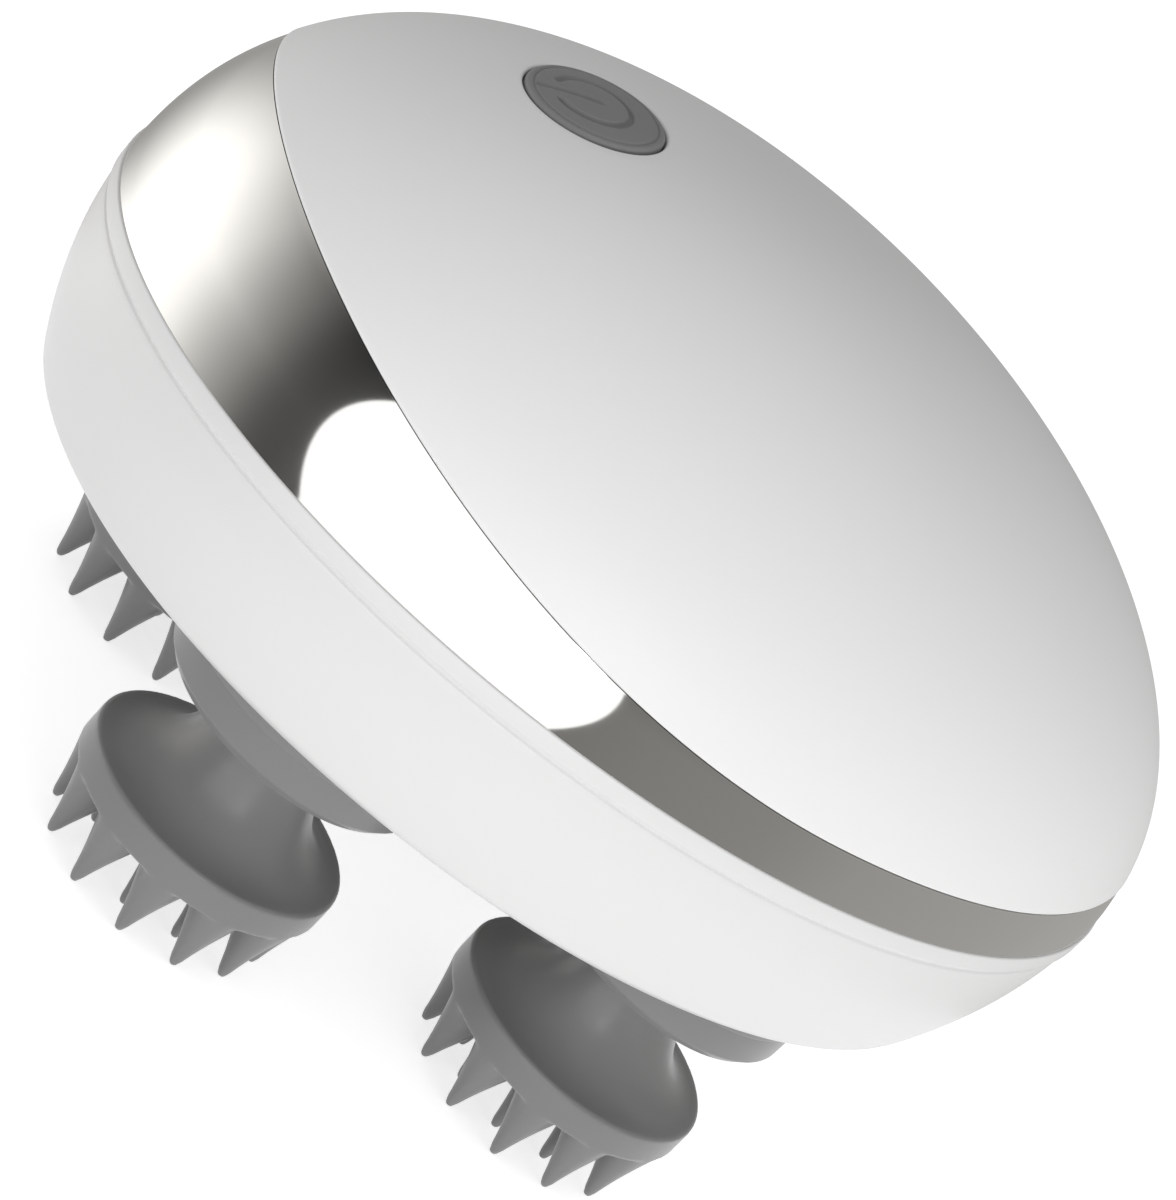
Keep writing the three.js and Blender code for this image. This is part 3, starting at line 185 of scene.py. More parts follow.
# Round card: the round highlight on the soft heads
SPOT_BEARING = math.radians(266)
SPOT_ELEVATION = math.radians(19)
SPOT_DISTANCE = 145
SPOT_RADIUS = 11
SPOT_HALF_THICKNESS = 0.5
SPOT_GLOW = 6

# Light: the world's strength and how much it grows towards +X, then the two lamps
WORLD_LIGHT = 0.51
WORLD_SLOPE = 0.12
LAMPS = {"key": (-70, 3.3), "fill": (-153, 1.9)}  # azimuth in degrees and power in watts
LAMP_ELEVATION = 3.5
LAMP_DISTANCE = 0.9  # in metres, as the two sizes
LAMP_WIDTH = 0.8
LAMP_HEIGHT = 0.13

# Floor
GROUND_HALF = 3000
GROUND_COLOR = (0.8, 0.8, 0.8)
GROUND_ROUGHNESS = 0.9
GROUND_GLOW = (0.27, 0.71)  # in the light that it gives, and as the camera and the bright trim see it

# How finely the shapes are divided
COLUMNS = 288  # round the housing
EDGE_STEPS = 5  # over the rounded edges of the cover
SMALL_ARC_STEPS = 3
ARC_STEPS = 5
FINE_ARC_STEPS = 6
ROUND = 96  # round a turned body
CUP_SIDES = 128
BUTTON_SIDES = 256
SMALL_ROUND = 48
FINGER_SIDES = 32
WALL_SIDES = 180
COVER_ROWS = 72
TRIM_ROWS = 40
BUTTON_ROWS = 78
FLOOR_EDGE_ROWS = 8
BASE_WALL_ROWS = 26
GROOVE_ROWS = 9
BEAD_ROWS = 14
LIP_ROWS = 7
LINING_ROWS = 12
FINGER_ROWS = 12
TRUMPET_ROWS = 22
PLUG_END_ROWS = 8
PLUG_EDGE_ROWS = 6
PILL_STEPS = 12
SOFT_BOX_ROWS = 30
SOFT_BOX_HEIGHTS = 40
SHARP_ANGLE = 40  # in degrees: edges sharper than this aren't shaded smooth
BUTTON_SHARP_ANGLE = 50
HALVINGS = 50  # rounds of a search by halves
DOME_ROUNDS = 60  # rounds of the search for the dome's height
LEAST_SHARE = 1e-9  # keeps the dome's powers away from 0
LEAST_WIDTH = 1e-6
RAY_STEP = 1e-4  # over which a slope on the dome is taken
TILT_STEP = 0.5  # to both sides of the button, for its tilt

# The photo's camera
CAMERA_AZIMUTH = math.radians(-24.441)
CAMERA_ELEVATION = math.radians(22.041)
CAMERA_ROLL = math.radians(43.056)
CAMERA_DISTANCE = 420.202
CAMERA_OFFSET = (-3.723, -6.064)  # along the picture's right and up
PHOTO_SCALE = 11.827  # pixels of the photo to a millimetre at the middle of the object
PHOTO_HEIGHT = 1200
SENSOR = 36
CAMERA_CLIP = (0.01, 20)  # in metres


def top_of(node):
    """The highest point of a CAD node, in millimetres as all that follows."""
    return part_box(node)[1].z / MM


def bottom_of(node):
    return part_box(node)[0].z / MM


def middle_of(node):
    low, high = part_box(node)
    return (low + high) / (2 * MM)


SEAM_Z = top_of("lower_shell")
SKIRT_Z = bottom_of("skirt_1")
FLOOR_Z = top_of("skirt_1")
NECK_Z = top_of("massage_cup_1")
BASE_DEPTH = SEAM_Z - FLOOR_Z
DOME_RISE = top_of("top_shell") - SEAM_Z
SOCKET_Z = middle_of("port_cover").z
PLUG_BACK_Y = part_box("port_cover")[1].y / MM - PLUG_THICKNESS


def linked(name, data):
    """A new object in the scene."""
    piece = bpy.data.objects.new(name, data)
    bpy.context.scene.collection.objects.link(piece)
    return piece


def mesh_object(name, points, faces, sharp=SHARP_ANGLE):
    """A mesh from points in millimetres, shaded smooth except at edges sharper than the angle."""
    mesh = bpy.data.meshes.new(name)
    scaled = np.asarray(points, float) * MM
    mesh.from_pydata(scaled.tolist(), [], [tuple(face) for face in faces])
    mesh.validate()
    for polygon in mesh.polygons:
        polygon.use_smooth = True
    if sharp:
        mesh.set_sharp_from_angle(angle=math.radians(sharp))
    return linked(name, mesh)


def grid_faces(rows, columns, close_rows=False):
    """Quads of a grid whose columns run round, outward when the rows run up and the columns anticlockwise."""
    faces = []
    for row in range(rows if close_rows else rows - 1):
        above = (row + 1) % rows
        for column in range(columns):
            beside = (column + 1) % columns
            faces.append((
                row * columns + column,
                row * columns + beside,
                above * columns + beside,
                above * columns + column,
            ))
    return faces


def end_fans(rows, columns):
    """Triangles that close the first and last row of a grid onto the two points that follow its own."""
    first = rows * columns
    last = first - columns
    faces = []
    for column in range(columns):
        beside = (column + 1) % columns
        faces.append((first, beside, column))
        faces.append((first + 1, last + column, last + beside))
    return faces


def circle(radius, height, angles):
    return [(radius * math.cos(a), radius * math.sin(a), height) for a in angles]


def lathe(name, profile, sides=ROUND):
    """A closed turned body. Its profile of (radius, height) runs anticlockwise, and either starts and ends
    on the axis or ends where it starts."""
    on_axis = profile[0][0] == 0
    ring = profile[1:-1] if on_axis else profile[:-1]
    angles = np.linspace(0, 2 * math.pi, sides, endpoint=False)
    points = []
    for radius, height in ring:
        points += circle(radius, height, angles)
    faces = grid_faces(len(ring), sides, close_rows=not on_axis)
    if on_axis:
        points += [(0, 0, profile[0][1]), (0, 0, profile[-1][1])]
        faces += end_fans(len(ring), sides)
    return mesh_object(name, points, faces)


def arc(centre, radius, start, end, steps):
    """Points of an arc in a profile, its angles in degrees from the radius direction."""
    turns = np.radians(np.linspace(start, end, steps + 1))
    return [(centre[0] + radius * math.cos(t), centre[1] + radius * math.sin(t)) for t in turns]


def cut(piece, cutters):
    """Takes the cutters out of the piece and deletes them."""
    for cutter in cutters:
        modifier = piece.modifiers.new("cut", "BOOLEAN")
        modifier.operation = "DIFFERENCE"
        modifier.solver = "EXACT"
        modifier.object = cutter
    apply_modifiers(piece)
    for cutter in cutters:
        bpy.data.objects.remove(cutter)


def apply_modifiers(piece):
    """Turns the piece into what its modifiers make of it."""
    graph = bpy.context.evaluated_depsgraph_get()
    mesh = bpy.data.meshes.new_from_object(piece.evaluated_get(graph))
    piece.modifiers.clear()
    piece.data = mesh


def placed(piece, middle):
    """Moves a piece that stands on the Z axis to stand over a node's middle."""
    piece.location = (middle.x * MM, middle.y * MM, 0)
    return piece


def finish_piece(piece, body, finish, *nodes):
    """Gives the piece its material and body, and hides the nodes that it replaces."""
    piece.data.materials.clear()
    piece.data.materials.append(FINISHES[finish])
    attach(piece, body)
    if nodes:
        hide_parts(*nodes)


def dome_point(chart):
    """Points of the dome for points of a unit disc, whose middle is the top and whose edge is the foot."""
    share = np.hypot(chart[..., 0], chart[..., 1])
    turn = np.arctan2(chart[..., 1], chart[..., 0])
    share = np.clip(share, LEAST_SHARE, 1)
    reach = np.sin(share * math.pi / 2) ** (2 / DOME_POWER)
    rise = DOME_RISE * np.clip(np.cos(share * math.pi / 2), 0, 1) ** (2 / DOME_POWER)
    x = HALF_LENGTH * reach * np.cos(turn) + DOME_LEAN * (rise / DOME_RISE) ** 2
    y = HALF_WIDTH * reach * np.sin(turn)
    return np.stack([x, y, SEAM_Z + rise], -1)


def dome_normal(point):
    """Outward normal of the dome, from the gradient of its equation."""
    rise = np.clip(point[..., 2] - SEAM_Z, 0, None)
    x = point[..., 0] - DOME_LEAN * (rise / DOME_RISE) ** 2
    width = np.hypot(x / HALF_LENGTH, point[..., 1] / HALF_WIDTH)
    width = np.clip(width, LEAST_WIDTH, None)
    power = DOME_POWER
    across = power * width ** (power - 2)
    gx = across * x / HALF_LENGTH ** 2
    gy = across * point[..., 1] / HALF_WIDTH ** 2
    lean = 2 * DOME_LEAN * rise / DOME_RISE ** 2
    gz = power * (rise / DOME_RISE) ** (power - 1) / DOME_RISE - gx * lean
    normal = np.stack([gx, gy, gz], -1)
    return normal / np.linalg.norm(normal, axis=-1, keepdims=True)


def trim_height(x):
    """Height of the seam between the trim and the cover."""
    inside = TRIM_RADIUS ** 2 - np.clip(TRIM_TANGENT_X - x, 0, None) ** 2
    return SEAM_Z + TRIM_LOW + TRIM_RADIUS - np.sqrt(inside)


def dome_height(x):
    """Height of the dome on its middle line."""
    rise = DOME_RISE
    for _ in range(DOME_ROUNDS):
        lean = DOME_LEAN * (rise / DOME_RISE) ** 2
        share = min(1, abs(x - lean) / HALF_LENGTH)
        rise = DOME_RISE * (1 - share ** DOME_POWER) ** (1 / DOME_POWER)
    return SEAM_Z + rise


BUTTON_TOP = np.array([BUTTON_X, 0, dome_height(BUTTON_X)])
BUTTON_FALL = dome_height(BUTTON_X + TILT_STEP) - dome_height(BUTTON_X - TILT_STEP)
BUTTON_TILT = -math.atan(BUTTON_FALL / (2 * TILT_STEP))
BUTTON_AXIS = np.array([math.sin(BUTTON_TILT), 0, math.cos(BUTTON_TILT)])


def button_chart():
    """The button's place on the disc."""
    rise = BUTTON_TOP[2] - SEAM_Z
    lean = DOME_LEAN * (rise / DOME_RISE) ** 2
    share = abs(BUTTON_X - lean) / HALF_LENGTH
    return np.array([-math.asin(share ** (DOME_POWER / 2)) * 2 / math.pi, 0])


CHART_MIDDLE = button_chart()
RAY_ANGLES = np.linspace(0, 2 * math.pi, COLUMNS, endpoint=False)
RAYS = np.stack([np.cos(RAY_ANGLES), np.sin(RAY_ANGLES)], -1)


def along_rays(reach):
    """Points of the disc on the rays from the button, at a reach for each ray."""
    return CHART_MIDDLE + RAYS * reach[:, None]


def reach_of_foot():
    """How far each ray runs from the button to the foot of the dome, on the disc."""
    across = RAYS @ CHART_MIDDLE
    return -across + np.sqrt(across ** 2 + 1 - CHART_MIDDLE @ CHART_MIDDLE)


def reach_where(inside):
    """The reach at which each ray leaves the region where the test is positive."""
    low = np.zeros(COLUMNS)
    high = reach_of_foot()
    for _ in range(HALVINGS):
        middle = (low + high) / 2
        within = inside(dome_point(along_rays(middle))) > 0
        low = np.where(within, middle, low)
        high = np.where(within, high, middle)
    return (low + high) / 2


def reach_of_seam(gap):
    """The reach of the seam, moved towards the cover by a gap."""
    return reach_where(lambda p: p[..., 2] - trim_height(p[..., 0]) - gap)


def reach_of_hole(radius):
    """The reach of a round hole about the button's axis."""
    def inside(point):
        offset = point - BUTTON_TOP
        along = offset @ BUTTON_AXIS
        return radius - np.linalg.norm(offset - along[..., None] * BUTTON_AXIS, axis=-1)
    return reach_where(inside)


def ray_slope(reach):
    """Movement on the dome for a step along each ray."""
    return (dome_point(along_rays(reach)) - dome_point(along_rays(reach - RAY_STEP))) / RAY_STEP


def round_edge(reach, radius, side):
    """The reach where the dome's face ends before a rounded edge, and the rows of points over that edge.
    The side is 1 at the outer end of the rays and -1 at the inner."""
    slope = ray_slope(reach)
    length = np.linalg.norm(slope, axis=-1)
    start = reach - side * radius / length
    point = dome_point(along_rays(start))
    normal = dome_normal(point)
    along = side * slope / length[:, None]
    rows = []
    for turn in np.linspace(0, math.pi / 2, EDGE_STEPS + 1)[1:]:
        rows.append(point + radius * (along * math.sin(turn) - normal * (1 - math.cos(turn))))
    return start, rows


def dome_strip(name, inner, outer, edges, rows, sunk=0):
    """A closed strip of the dome's wall between two reaches, with rounded edges where the two edges aren't 0.
    It can lie lower by an amount that fades towards the outer end."""
    start, first_rows = round_edge(inner, edges[0], -1) if edges[0] else (inner, [])
    end, last_rows = round_edge(outer, edges[1], 1) if edges[1] else (outer, [])
    shares = np.linspace(0, 1, rows)
    faces = [dome_point(along_rays(start + (end - start) * share)) for share in shares]
    lining = [face - WALL * dome_normal(face) for face in faces]
    faces = [face - sunk * (1 - share) * dome_normal(face) for face, share in zip(faces, shares)]
    loop = first_rows[::-1] + faces + last_rows + lining[::-1]
    quads = grid_faces(len(loop), COLUMNS, close_rows=True)
    return mesh_object(name, np.concatenate(loop), [quad[::-1] for quad in quads])


def cover_skin():
    hole = reach_of_hole(BUTTON_RADIUS + BUTTON_GAP)
    seam = reach_of_seam(SEAM_GAP / 2)
    piece = dome_strip("cover_skin", hole, seam, (HOLE_EDGE, COVER_EDGE), COVER_ROWS)
    finish_piece(piece, "housing", "pearl_cover", "top_shell")


def trim_skin():
    top = reach_of_seam(-SEAM_GAP / 2)
    piece = dome_strip("trim_skin", top, reach_of_foot(), (0, 0), TRIM_ROWS, TRIM_SUNK)
    finish_piece(piece, "housing", "chrome_trim", "trim_band")


def base_profile():
    """Rows of (outset, depth) of the lower shell's face, from the floor to the seam."""
    rows = [(-FLOOR_EDGE - FLOOR_ROW, BASE_DEPTH)]
    for turn in np.linspace(0, math.pi / 2, FLOOR_EDGE_ROWS):
        rows.append((-FLOOR_EDGE * (1 - math.sin(turn)), BASE_DEPTH - FLOOR_EDGE * (1 - math.cos(turn))))
    wall_start = BASE_DEPTH - FLOOR_EDGE
    groove_depth, groove_half = BEAD_GROOVE
    groove_end = BEAD_END + 2 * groove_half
    for share in np.linspace(0, 1, BASE_WALL_ROWS)[1:]:
        rows.append((0, wall_start + (groove_end - wall_start) * share))
    for share in np.linspace(-1, 1, GROOVE_ROWS)[1:]:
        outset = -groove_depth * (0.5 + 0.5 * math.cos(math.pi * share))
        rows.append((outset, groove_end - groove_half * (1 + share)))
    for share in np.linspace(1, 0, BEAD_ROWS)[1:]:
        depth = BEAD_HEIGHT + (BEAD_END - BEAD_HEIGHT) * share
        rows.append((LIP_PROUD * (1 - share ** 2 * (3 - 2 * share)), depth))
    for turn in np.linspace(0, math.pi / 2, LIP_ROWS)[1:]:
        inset = LIP_PROUD * (1 - math.cos(turn))
        rows.append((LIP_PROUD - inset, LIP_PROUD * (1 - math.sin(turn))))
    return rows


def base_half_axes(depth):
    """Half length and half width of the lower shell's face at a depth below the seam."""
    share = (depth / BASE_DEPTH) ** 2
    half_length = HALF_LENGTH - (HALF_LENGTH - FLOOR_HALF_LENGTH) * share
    half_width = HALF_WIDTH - (HALF_WIDTH - FLOOR_HALF_WIDTH) * share
    return half_length, half_width


def base_ring(outset, depth):
    """A row of points round the lower shell."""
    half_length, half_width = base_half_axes(depth)
    height = np.full_like(RAY_ANGLES, SEAM_Z - depth)
    across = (half_length + outset) * np.cos(RAY_ANGLES)
    return np.stack([across, (half_width + outset) * np.sin(RAY_ANGLES), height], -1)


def base_face_y(x, z):
    """Where the lower shell's face lies on its +Y side."""
    half_length, half_width = base_half_axes(SEAM_Z - z)
    return half_width * math.sqrt(1 - (x / half_length) ** 2)


def pill_outline(width, height):
    """An outline with two straight sides and round ends."""
    radius = height / 2
    half = width / 2 - radius
    right = arc((half, 0), radius, 90, -90, 2 * PILL_STEPS)
    left = arc((-half, 0), radius, -90, -270, 2 * PILL_STEPS)
    return right + left


def pill_prism(name, width, height, near, far):
    """A prism along Y with round ends, about the middle of the charging socket."""
    outline = pill_outline(width, height)
    points = []
    for y in (near, far):
        points += [(x, y, SOCKET_Z + z) for x, z in outline]
    count = len(outline)
    faces = [(i, (i + 1) % count, (i + 1) % count + count, i + count) for i in range(count)]
    faces.append(tuple(range(count))[::-1])
    faces.append(tuple(range(count, 2 * count)))
    return mesh_object(name, points, faces)


def base_cutters():
    """What is cut out of the lower shell: the bores, the screw holes, and the socket's recess and opening."""
    cutters = []
    for number in HEADS:
        bore = lathe("bore", [(0, 0), (SPINDLE_BORE, 0), (SPINDLE_BORE, SEAM_Z), (0, SEAM_Z)], SMALL_ROUND)
        cutters.append(placed(bore, middle_of(f"skirt_{number}")))
        mouth = FLOOR_Z + SCREW_CHAMFER
        seat = FLOOR_Z + SCREW_RECESS + SCREW_HEAD_HEIGHT + FIT_GAP
        hole = lathe("hole", [
            (0, 0),
            (SCREW_HEAD + FIT_GAP + mouth, 0),
            (SCREW_HEAD + FIT_GAP, mouth),
            (SCREW_HEAD + FIT_GAP, seat),
            (SCREW_RADIUS + FIT_GAP, seat),
            (SCREW_RADIUS + FIT_GAP, SEAM_Z),
            (0, SEAM_Z),
        ], SMALL_ROUND)
        cutters.append(placed(hole, middle_of(f"case_screw_{number}")))
    back = PLUG_BACK_Y - FIT_GAP
    outside = HALF_WIDTH + CUT_OVERLAP
    cutters.append(pill_prism("recess", PLUG_WIDTH + 2 * FIT_GAP, PLUG_HEIGHT + 2 * FIT_GAP, back, outside))
    cutters.append(pill_prism("opening", SOCKET_WIDTH, SOCKET_HEIGHT, back - CUT_OVERLAP, outside))
    return cutters


def base_skin():
    """The lower shell, with its outer face, its lining and its floor."""
    rows = [base_ring(outset, depth) for outset, depth in base_profile()]
    rows += [base_ring(-WALL, depth) for depth in np.linspace(0, BASE_DEPTH - FLOOR, LINING_ROWS)]
    points = np.concatenate(rows).tolist()
    points += [(0, 0, FLOOR_Z), (0, 0, FLOOR_Z + FLOOR)]
    faces = grid_faces(len(rows), COLUMNS) + end_fans(len(rows), COLUMNS)
    piece = mesh_object("base_skin", points, faces)
    cut(piece, base_cutters())
    finish_piece(piece, "housing", "white_shell", "lower_shell")


def skirt_skins():
    """The four skirts share one mesh."""
    foot = arc((SKIRT_FOOT - SKIRT_ROUND, SKIRT_Z + SKIRT_ROUND), SKIRT_ROUND, -90, -45, SMALL_ARC_STEPS)
    shoulder = SKIRT_Z + SKIRT_BEVEL + SKIRT_ROUND / 2
    wall = arc((SKIRT_WALL - SKIRT_ROUND, shoulder), SKIRT_ROUND, -35, 0, SMALL_ARC_STEPS)
    profile = [(SKIRT_HOLE, SKIRT_Z)] + foot + wall + [
        (SKIRT_WALL + SKIRT_STEP[0], FLOOR_Z - SKIRT_STEP[1]),
        (SKIRT_RADIUS - SKIRT_BAND_LOW[0], FLOOR_Z - SKIRT_BAND_LOW[1]),
        (SKIRT_RADIUS, FLOOR_Z - SKIRT_BAND_DROP),
        (SKIRT_RADIUS, FLOOR_Z),
        (SKIRT_CAVITY, FLOOR_Z),
        (SKIRT_CAVITY, SKIRT_Z + SKIRT_SKIN),
        (SKIRT_HOLE, SKIRT_Z + SKIRT_SKIN),
        (SKIRT_HOLE, SKIRT_Z),
    ]
    first = lathe("skirt_skin_1", profile)
    for number in HEADS:
        piece = first if number == 1 else linked(f"skirt_skin_{number}", first.data)
        placed(piece, middle_of(f"skirt_{number}"))
        finish_piece(piece, "housing", "grey_silicone", f"skirt_{number}")


def finger_profile(foot):
    """Profile of a finger, from its tip at height 0 to its foot, whose radius is given."""
    rows = [(0, 0)] + arc((0, FINGER_TIP), FINGER_TIP, -70, 0, ARC_STEPS)
    for share in np.linspace(FINGER_START, 1, FINGER_ROWS):
        rows.append((FINGER_TIP + (foot - FINGER_TIP) * share ** FINGER_FLARE, FINGER_LENGTH * share))
    rows.append((0, FINGER_LENGTH + FINGER_ROOT))
    return rows


def finger(foot, splay, circle_radius, turn):
    """A finger on a circle of the cup, whose tip leans out by the splay."""
    piece = lathe("finger", finger_profile(foot), FINGER_SIDES)
    for vertex in piece.data.vertices:
        height = min(vertex.co.z / MM, FINGER_LENGTH)
        vertex.co.x += (circle_radius - splay * height / FINGER_LENGTH) * MM
    piece.data.transform(Matrix.Rotation(turn, 4, "Z"))
    return piece


def cup_body():
    """The rim and the trumpet of a soft head, hollow over its hard core."""
    rim = FINGER_LENGTH + CUP_RIM
    hollow = FINGER_LENGTH + CUP_FLOOR
    edge = hollow + CORE_EDGE
    profile = [
        (0, FINGER_LENGTH),
        (CUP_RADIUS - CUP_BEVEL, FINGER_LENGTH),
        (CUP_RADIUS, FINGER_LENGTH + CUP_BEVEL),
    ]
    profile += arc((CUP_RADIUS - CUP_ROUND, rim - CUP_ROUND), CUP_ROUND, 0, 80, ARC_STEPS)
    widest = CUP_RADIUS - CUP_INSET - CUP_ROUND
    for turn in np.linspace(math.pi / 2, 0, TRUMPET_ROWS)[1:]:
        width = widest - (widest - CUP_NECK) * math.cos(turn)
        profile.append((width, NECK_Z - CUP_RISE * math.sin(turn)))
    profile += [(CORE_HUB, NECK_Z), (CORE_HUB, edge + CORE_CONE), (CORE_RADIUS, edge)]
    profile += [(CORE_RADIUS, hollow), (0, hollow)]
    return lathe("cup", profile, CUP_SIDES)


def cup_mesh():
    """The cup and its fingers grown into one soft body, with about the wanted number of faces."""
    parts = [cup_body()]
    splay = OUTER_CIRCLE - (CUP_RADIUS - OUTER_FOOT)
    for place in range(FINGERS):
        parts.append(finger(OUTER_FOOT, splay, OUTER_CIRCLE, 2 * math.pi * place / FINGERS))
    for place in range(INNER_FINGERS):
        parts.append(finger(INNER_FOOT, 0, INNER_CIRCLE, INNER_TURN + 2 * math.pi * place / INNER_FINGERS))
    parts.append(finger(INNER_FOOT, 0, 0, 0))
    joined = joined_object("cup_join", parts)
    remesh = joined.modifiers.new("remesh", "REMESH")
    remesh.mode = "VOXEL"
    remesh.voxel_size = VOXEL * MM * 1
    soften = joined.modifiers.new("soften", "SMOOTH")
    soften.factor = SOFTEN_FACTOR
    soften.iterations = SOFTEN_ROUNDS
    thin = joined.modifiers.new("thin", "DECIMATE")
    apply_modifiers_sized(joined, thin)
    mesh = joined.data
    bpy.data.objects.remove(joined)
    return mesh


def apply_modifiers_sized(piece, thin):
    """Applies the modifiers with the thinning set so that about the wanted number of faces is left."""
    thin.show_viewport = False
    graph = bpy.context.evaluated_depsgraph_get()
    count = 2 * len(piece.evaluated_get(graph).data.polygons)
    thin.show_viewport = True
    thin.ratio = min(1, CUP_FACES / count)
    apply_modifiers(piece)
    for polygon in piece.data.polygons:
        polygon.use_smooth = True


def joined_object(name, pieces):
    """One mesh of several pieces, which it deletes."""
    points = []
    faces = []
    for piece in pieces:
        start = len(points)
        points += [piece.matrix_world @ v.co / MM for v in piece.data.vertices]
        faces += [[start + i for i in polygon.vertices] for polygon in piece.data.polygons]
        bpy.data.objects.remove(piece)
    return mesh_object(name, points, faces)


def cup_skins():
    """The four soft heads share one mesh, and each turns with its own spindle."""
    mesh = cup_mesh()
    for number in HEADS:
        piece = linked(f"cup_skin_{number}", mesh)
        centre = middle_of(f"spindle_{number}")
        placed(piece, centre)
        piece.rotation_euler.z = NEAR_CUP_TURN if centre.y < 0 else 0
        finish_piece(piece, f"head_{number}", "grey_silicone", f"massage_cup_{number}")


def sign_distance(x, y):
    """Distance from the lines of the power sign: an arc open towards -X and a bar through the opening."""
    across = x - SIGN_X
    angle = np.arctan2(y, -across)
    arc_distance = np.abs(np.hypot(across, y) - SIGN_RADIUS)
    ends = [
        np.hypot(across + SIGN_RADIUS * math.cos(SIGN_OPEN), y - side * SIGN_RADIUS * math.sin(SIGN_OPEN))
        for side in (-1, 1)
    ]
    arc_distance = np.where(np.abs(angle) > SIGN_OPEN, arc_distance, np.minimum(*ends))
    return np.minimum(arc_distance, np.hypot(x - np.clip(x, *SIGN_BAR), y))


def button_height(x, y):
    """Height of the button's face, with its fine ring and the sunk power sign."""
    radius = np.hypot(x, y)
    face = BUTTON_RADIUS - BUTTON_EDGE
    height = BUTTON_PROUD - BUTTON_CROWN * (radius / face) ** 2
    ring = np.exp(-((radius - RING_RADIUS) / RING_WIDTH) ** 2)
    share = np.clip(sign_distance(x, y) / (SIGN_WIDTH / 2), 0, 1)
    return height - RING_DEPTH * ring - SIGN_DEPTH * (0.5 + 0.5 * np.cos(math.pi * share))


def button_skin():
    """The button with its crowned face, flange and stem, made upright and then tilted into its place."""
    angles = np.linspace(0, 2 * math.pi, BUTTON_SIDES, endpoint=False)
    edge = BUTTON_PROUD - BUTTON_CROWN
    flange = -BUTTON_SKIRT
    stem = flange - BUTTON_FLANGE
    rings = [
        (BUTTON_STEM_RADIUS, stem - BUTTON_STEM),
        (BUTTON_STEM_RADIUS, stem),
        (BUTTON_FLANGE_RADIUS, stem),
        (BUTTON_FLANGE_RADIUS, flange),
        (BUTTON_RADIUS, flange),
    ]
    rings += arc((BUTTON_RADIUS - BUTTON_EDGE, edge - BUTTON_EDGE), BUTTON_EDGE, 0, 84, FINE_ARC_STEPS)
    points = []
    for radius, height in rings:
        points += circle(radius, height, angles)
    face = np.linspace(BUTTON_RADIUS - BUTTON_EDGE, 0, BUTTON_ROWS)[:-1]
    for radius in face:
        x = radius * np.cos(angles)
        y = radius * np.sin(angles)
        points += np.stack([x, y, button_height(x, y)], -1).tolist()
    points += [(0, 0, stem - BUTTON_STEM), (0, 0, float(button_height(0.0, 0.0)))]
    rows = len(rings) + len(face)
    faces = grid_faces(rows, BUTTON_SIDES) + end_fans(rows, BUTTON_SIDES)
    piece = mesh_object("button_skin", points, faces, BUTTON_SHARP_ANGLE)
    piece.data.transform(Matrix.Translation(Vector(BUTTON_TOP) * MM) @ Matrix.Rotation(BUTTON_TILT, 4, "Y"))
    finish_piece(piece, "button", "button_grey", "power_button")


def grown_pill(width, height, share):
    """An outline between the small one in the middle of the plug's ends and one of this size."""
    core_width, core_height = PLUG_CORE
    grown_width = core_width + (width - core_width) * share
    grown_height = core_height + (height - core_height) * share
    return pill_outline(grown_width, grown_height)


def plug_skin():
    """The cap of the plug: a flat back, a rounded edge and a front that follows the lower shell's face."""
    points = []
    for share in np.linspace(0, 1, PLUG_END_ROWS):
        points += [(x, PLUG_BACK_Y, SOCKET_Z + z) for x, z in grown_pill(PLUG_WIDTH, PLUG_HEIGHT, share)]
    columns = len(points) // PLUG_END_ROWS
    for turn in np.linspace(0, math.pi / 2, PLUG_EDGE_ROWS):
        inset = PLUG_EDGE * (1 - math.cos(turn))
        sunk = PLUG_EDGE * (1 - math.sin(turn))
        for x, z in pill_outline(PLUG_WIDTH - 2 * inset, PLUG_HEIGHT - 2 * inset):
            points.append((x, base_face_y(x, SOCKET_Z + z) - sunk, SOCKET_Z + z))
    for share in np.linspace(1, 0, PLUG_END_ROWS)[1:]:
        for x, z in grown_pill(PLUG_WIDTH - 2 * PLUG_EDGE, PLUG_HEIGHT - 2 * PLUG_EDGE, share):
            points.append((x, base_face_y(x, SOCKET_Z + z), SOCKET_Z + z))
    rows = len(points) // columns
    faces = grid_faces(rows, columns)
    faces.append(tuple(range(columns))[::-1])
    faces.append(tuple(range((rows - 1) * columns, rows * columns)))
    piece = mesh_object("plug_skin", points, faces)
    finish_piece(piece, "socket_plug", "white_rubber", "port_cover")


def screw_skins():
    """The case screws, with a cross in each head."""
    for number in HEADS:
        name = f"case_screw_{number}"
        low = bottom_of(name)
        high = top_of(name)
        seat = low + SCREW_HEAD_HEIGHT
        head = arc((SCREW_HEAD - SCREW_ROUND, low + SCREW_ROUND), SCREW_ROUND, -88, 0, FINE_ARC_STEPS)
        profile = [(0, low)] + head + [
            (SCREW_HEAD, seat),
            (SCREW_RADIUS, seat),
            (SCREW_RADIUS, high - SCREW_TIP_LENGTH),
            (SCREW_TIP_RADIUS, high),
            (0, high),
        ]
        piece = lathe(f"screw_skin_{number}", profile, SMALL_ROUND)
        cutters = []
        for turn in (0, math.pi / 2):
            cutter = block("cross", CROSS_LENGTH, CROSS_WIDTH, 2 * CROSS_DEPTH, low)
            cutter.data.transform(Matrix.Rotation(turn, 4, "Z"))
            cutters.append(cutter)
        cut(piece, cutters)
        placed(piece, middle_of(name))
        finish_piece(piece, "housing", "steel", name)


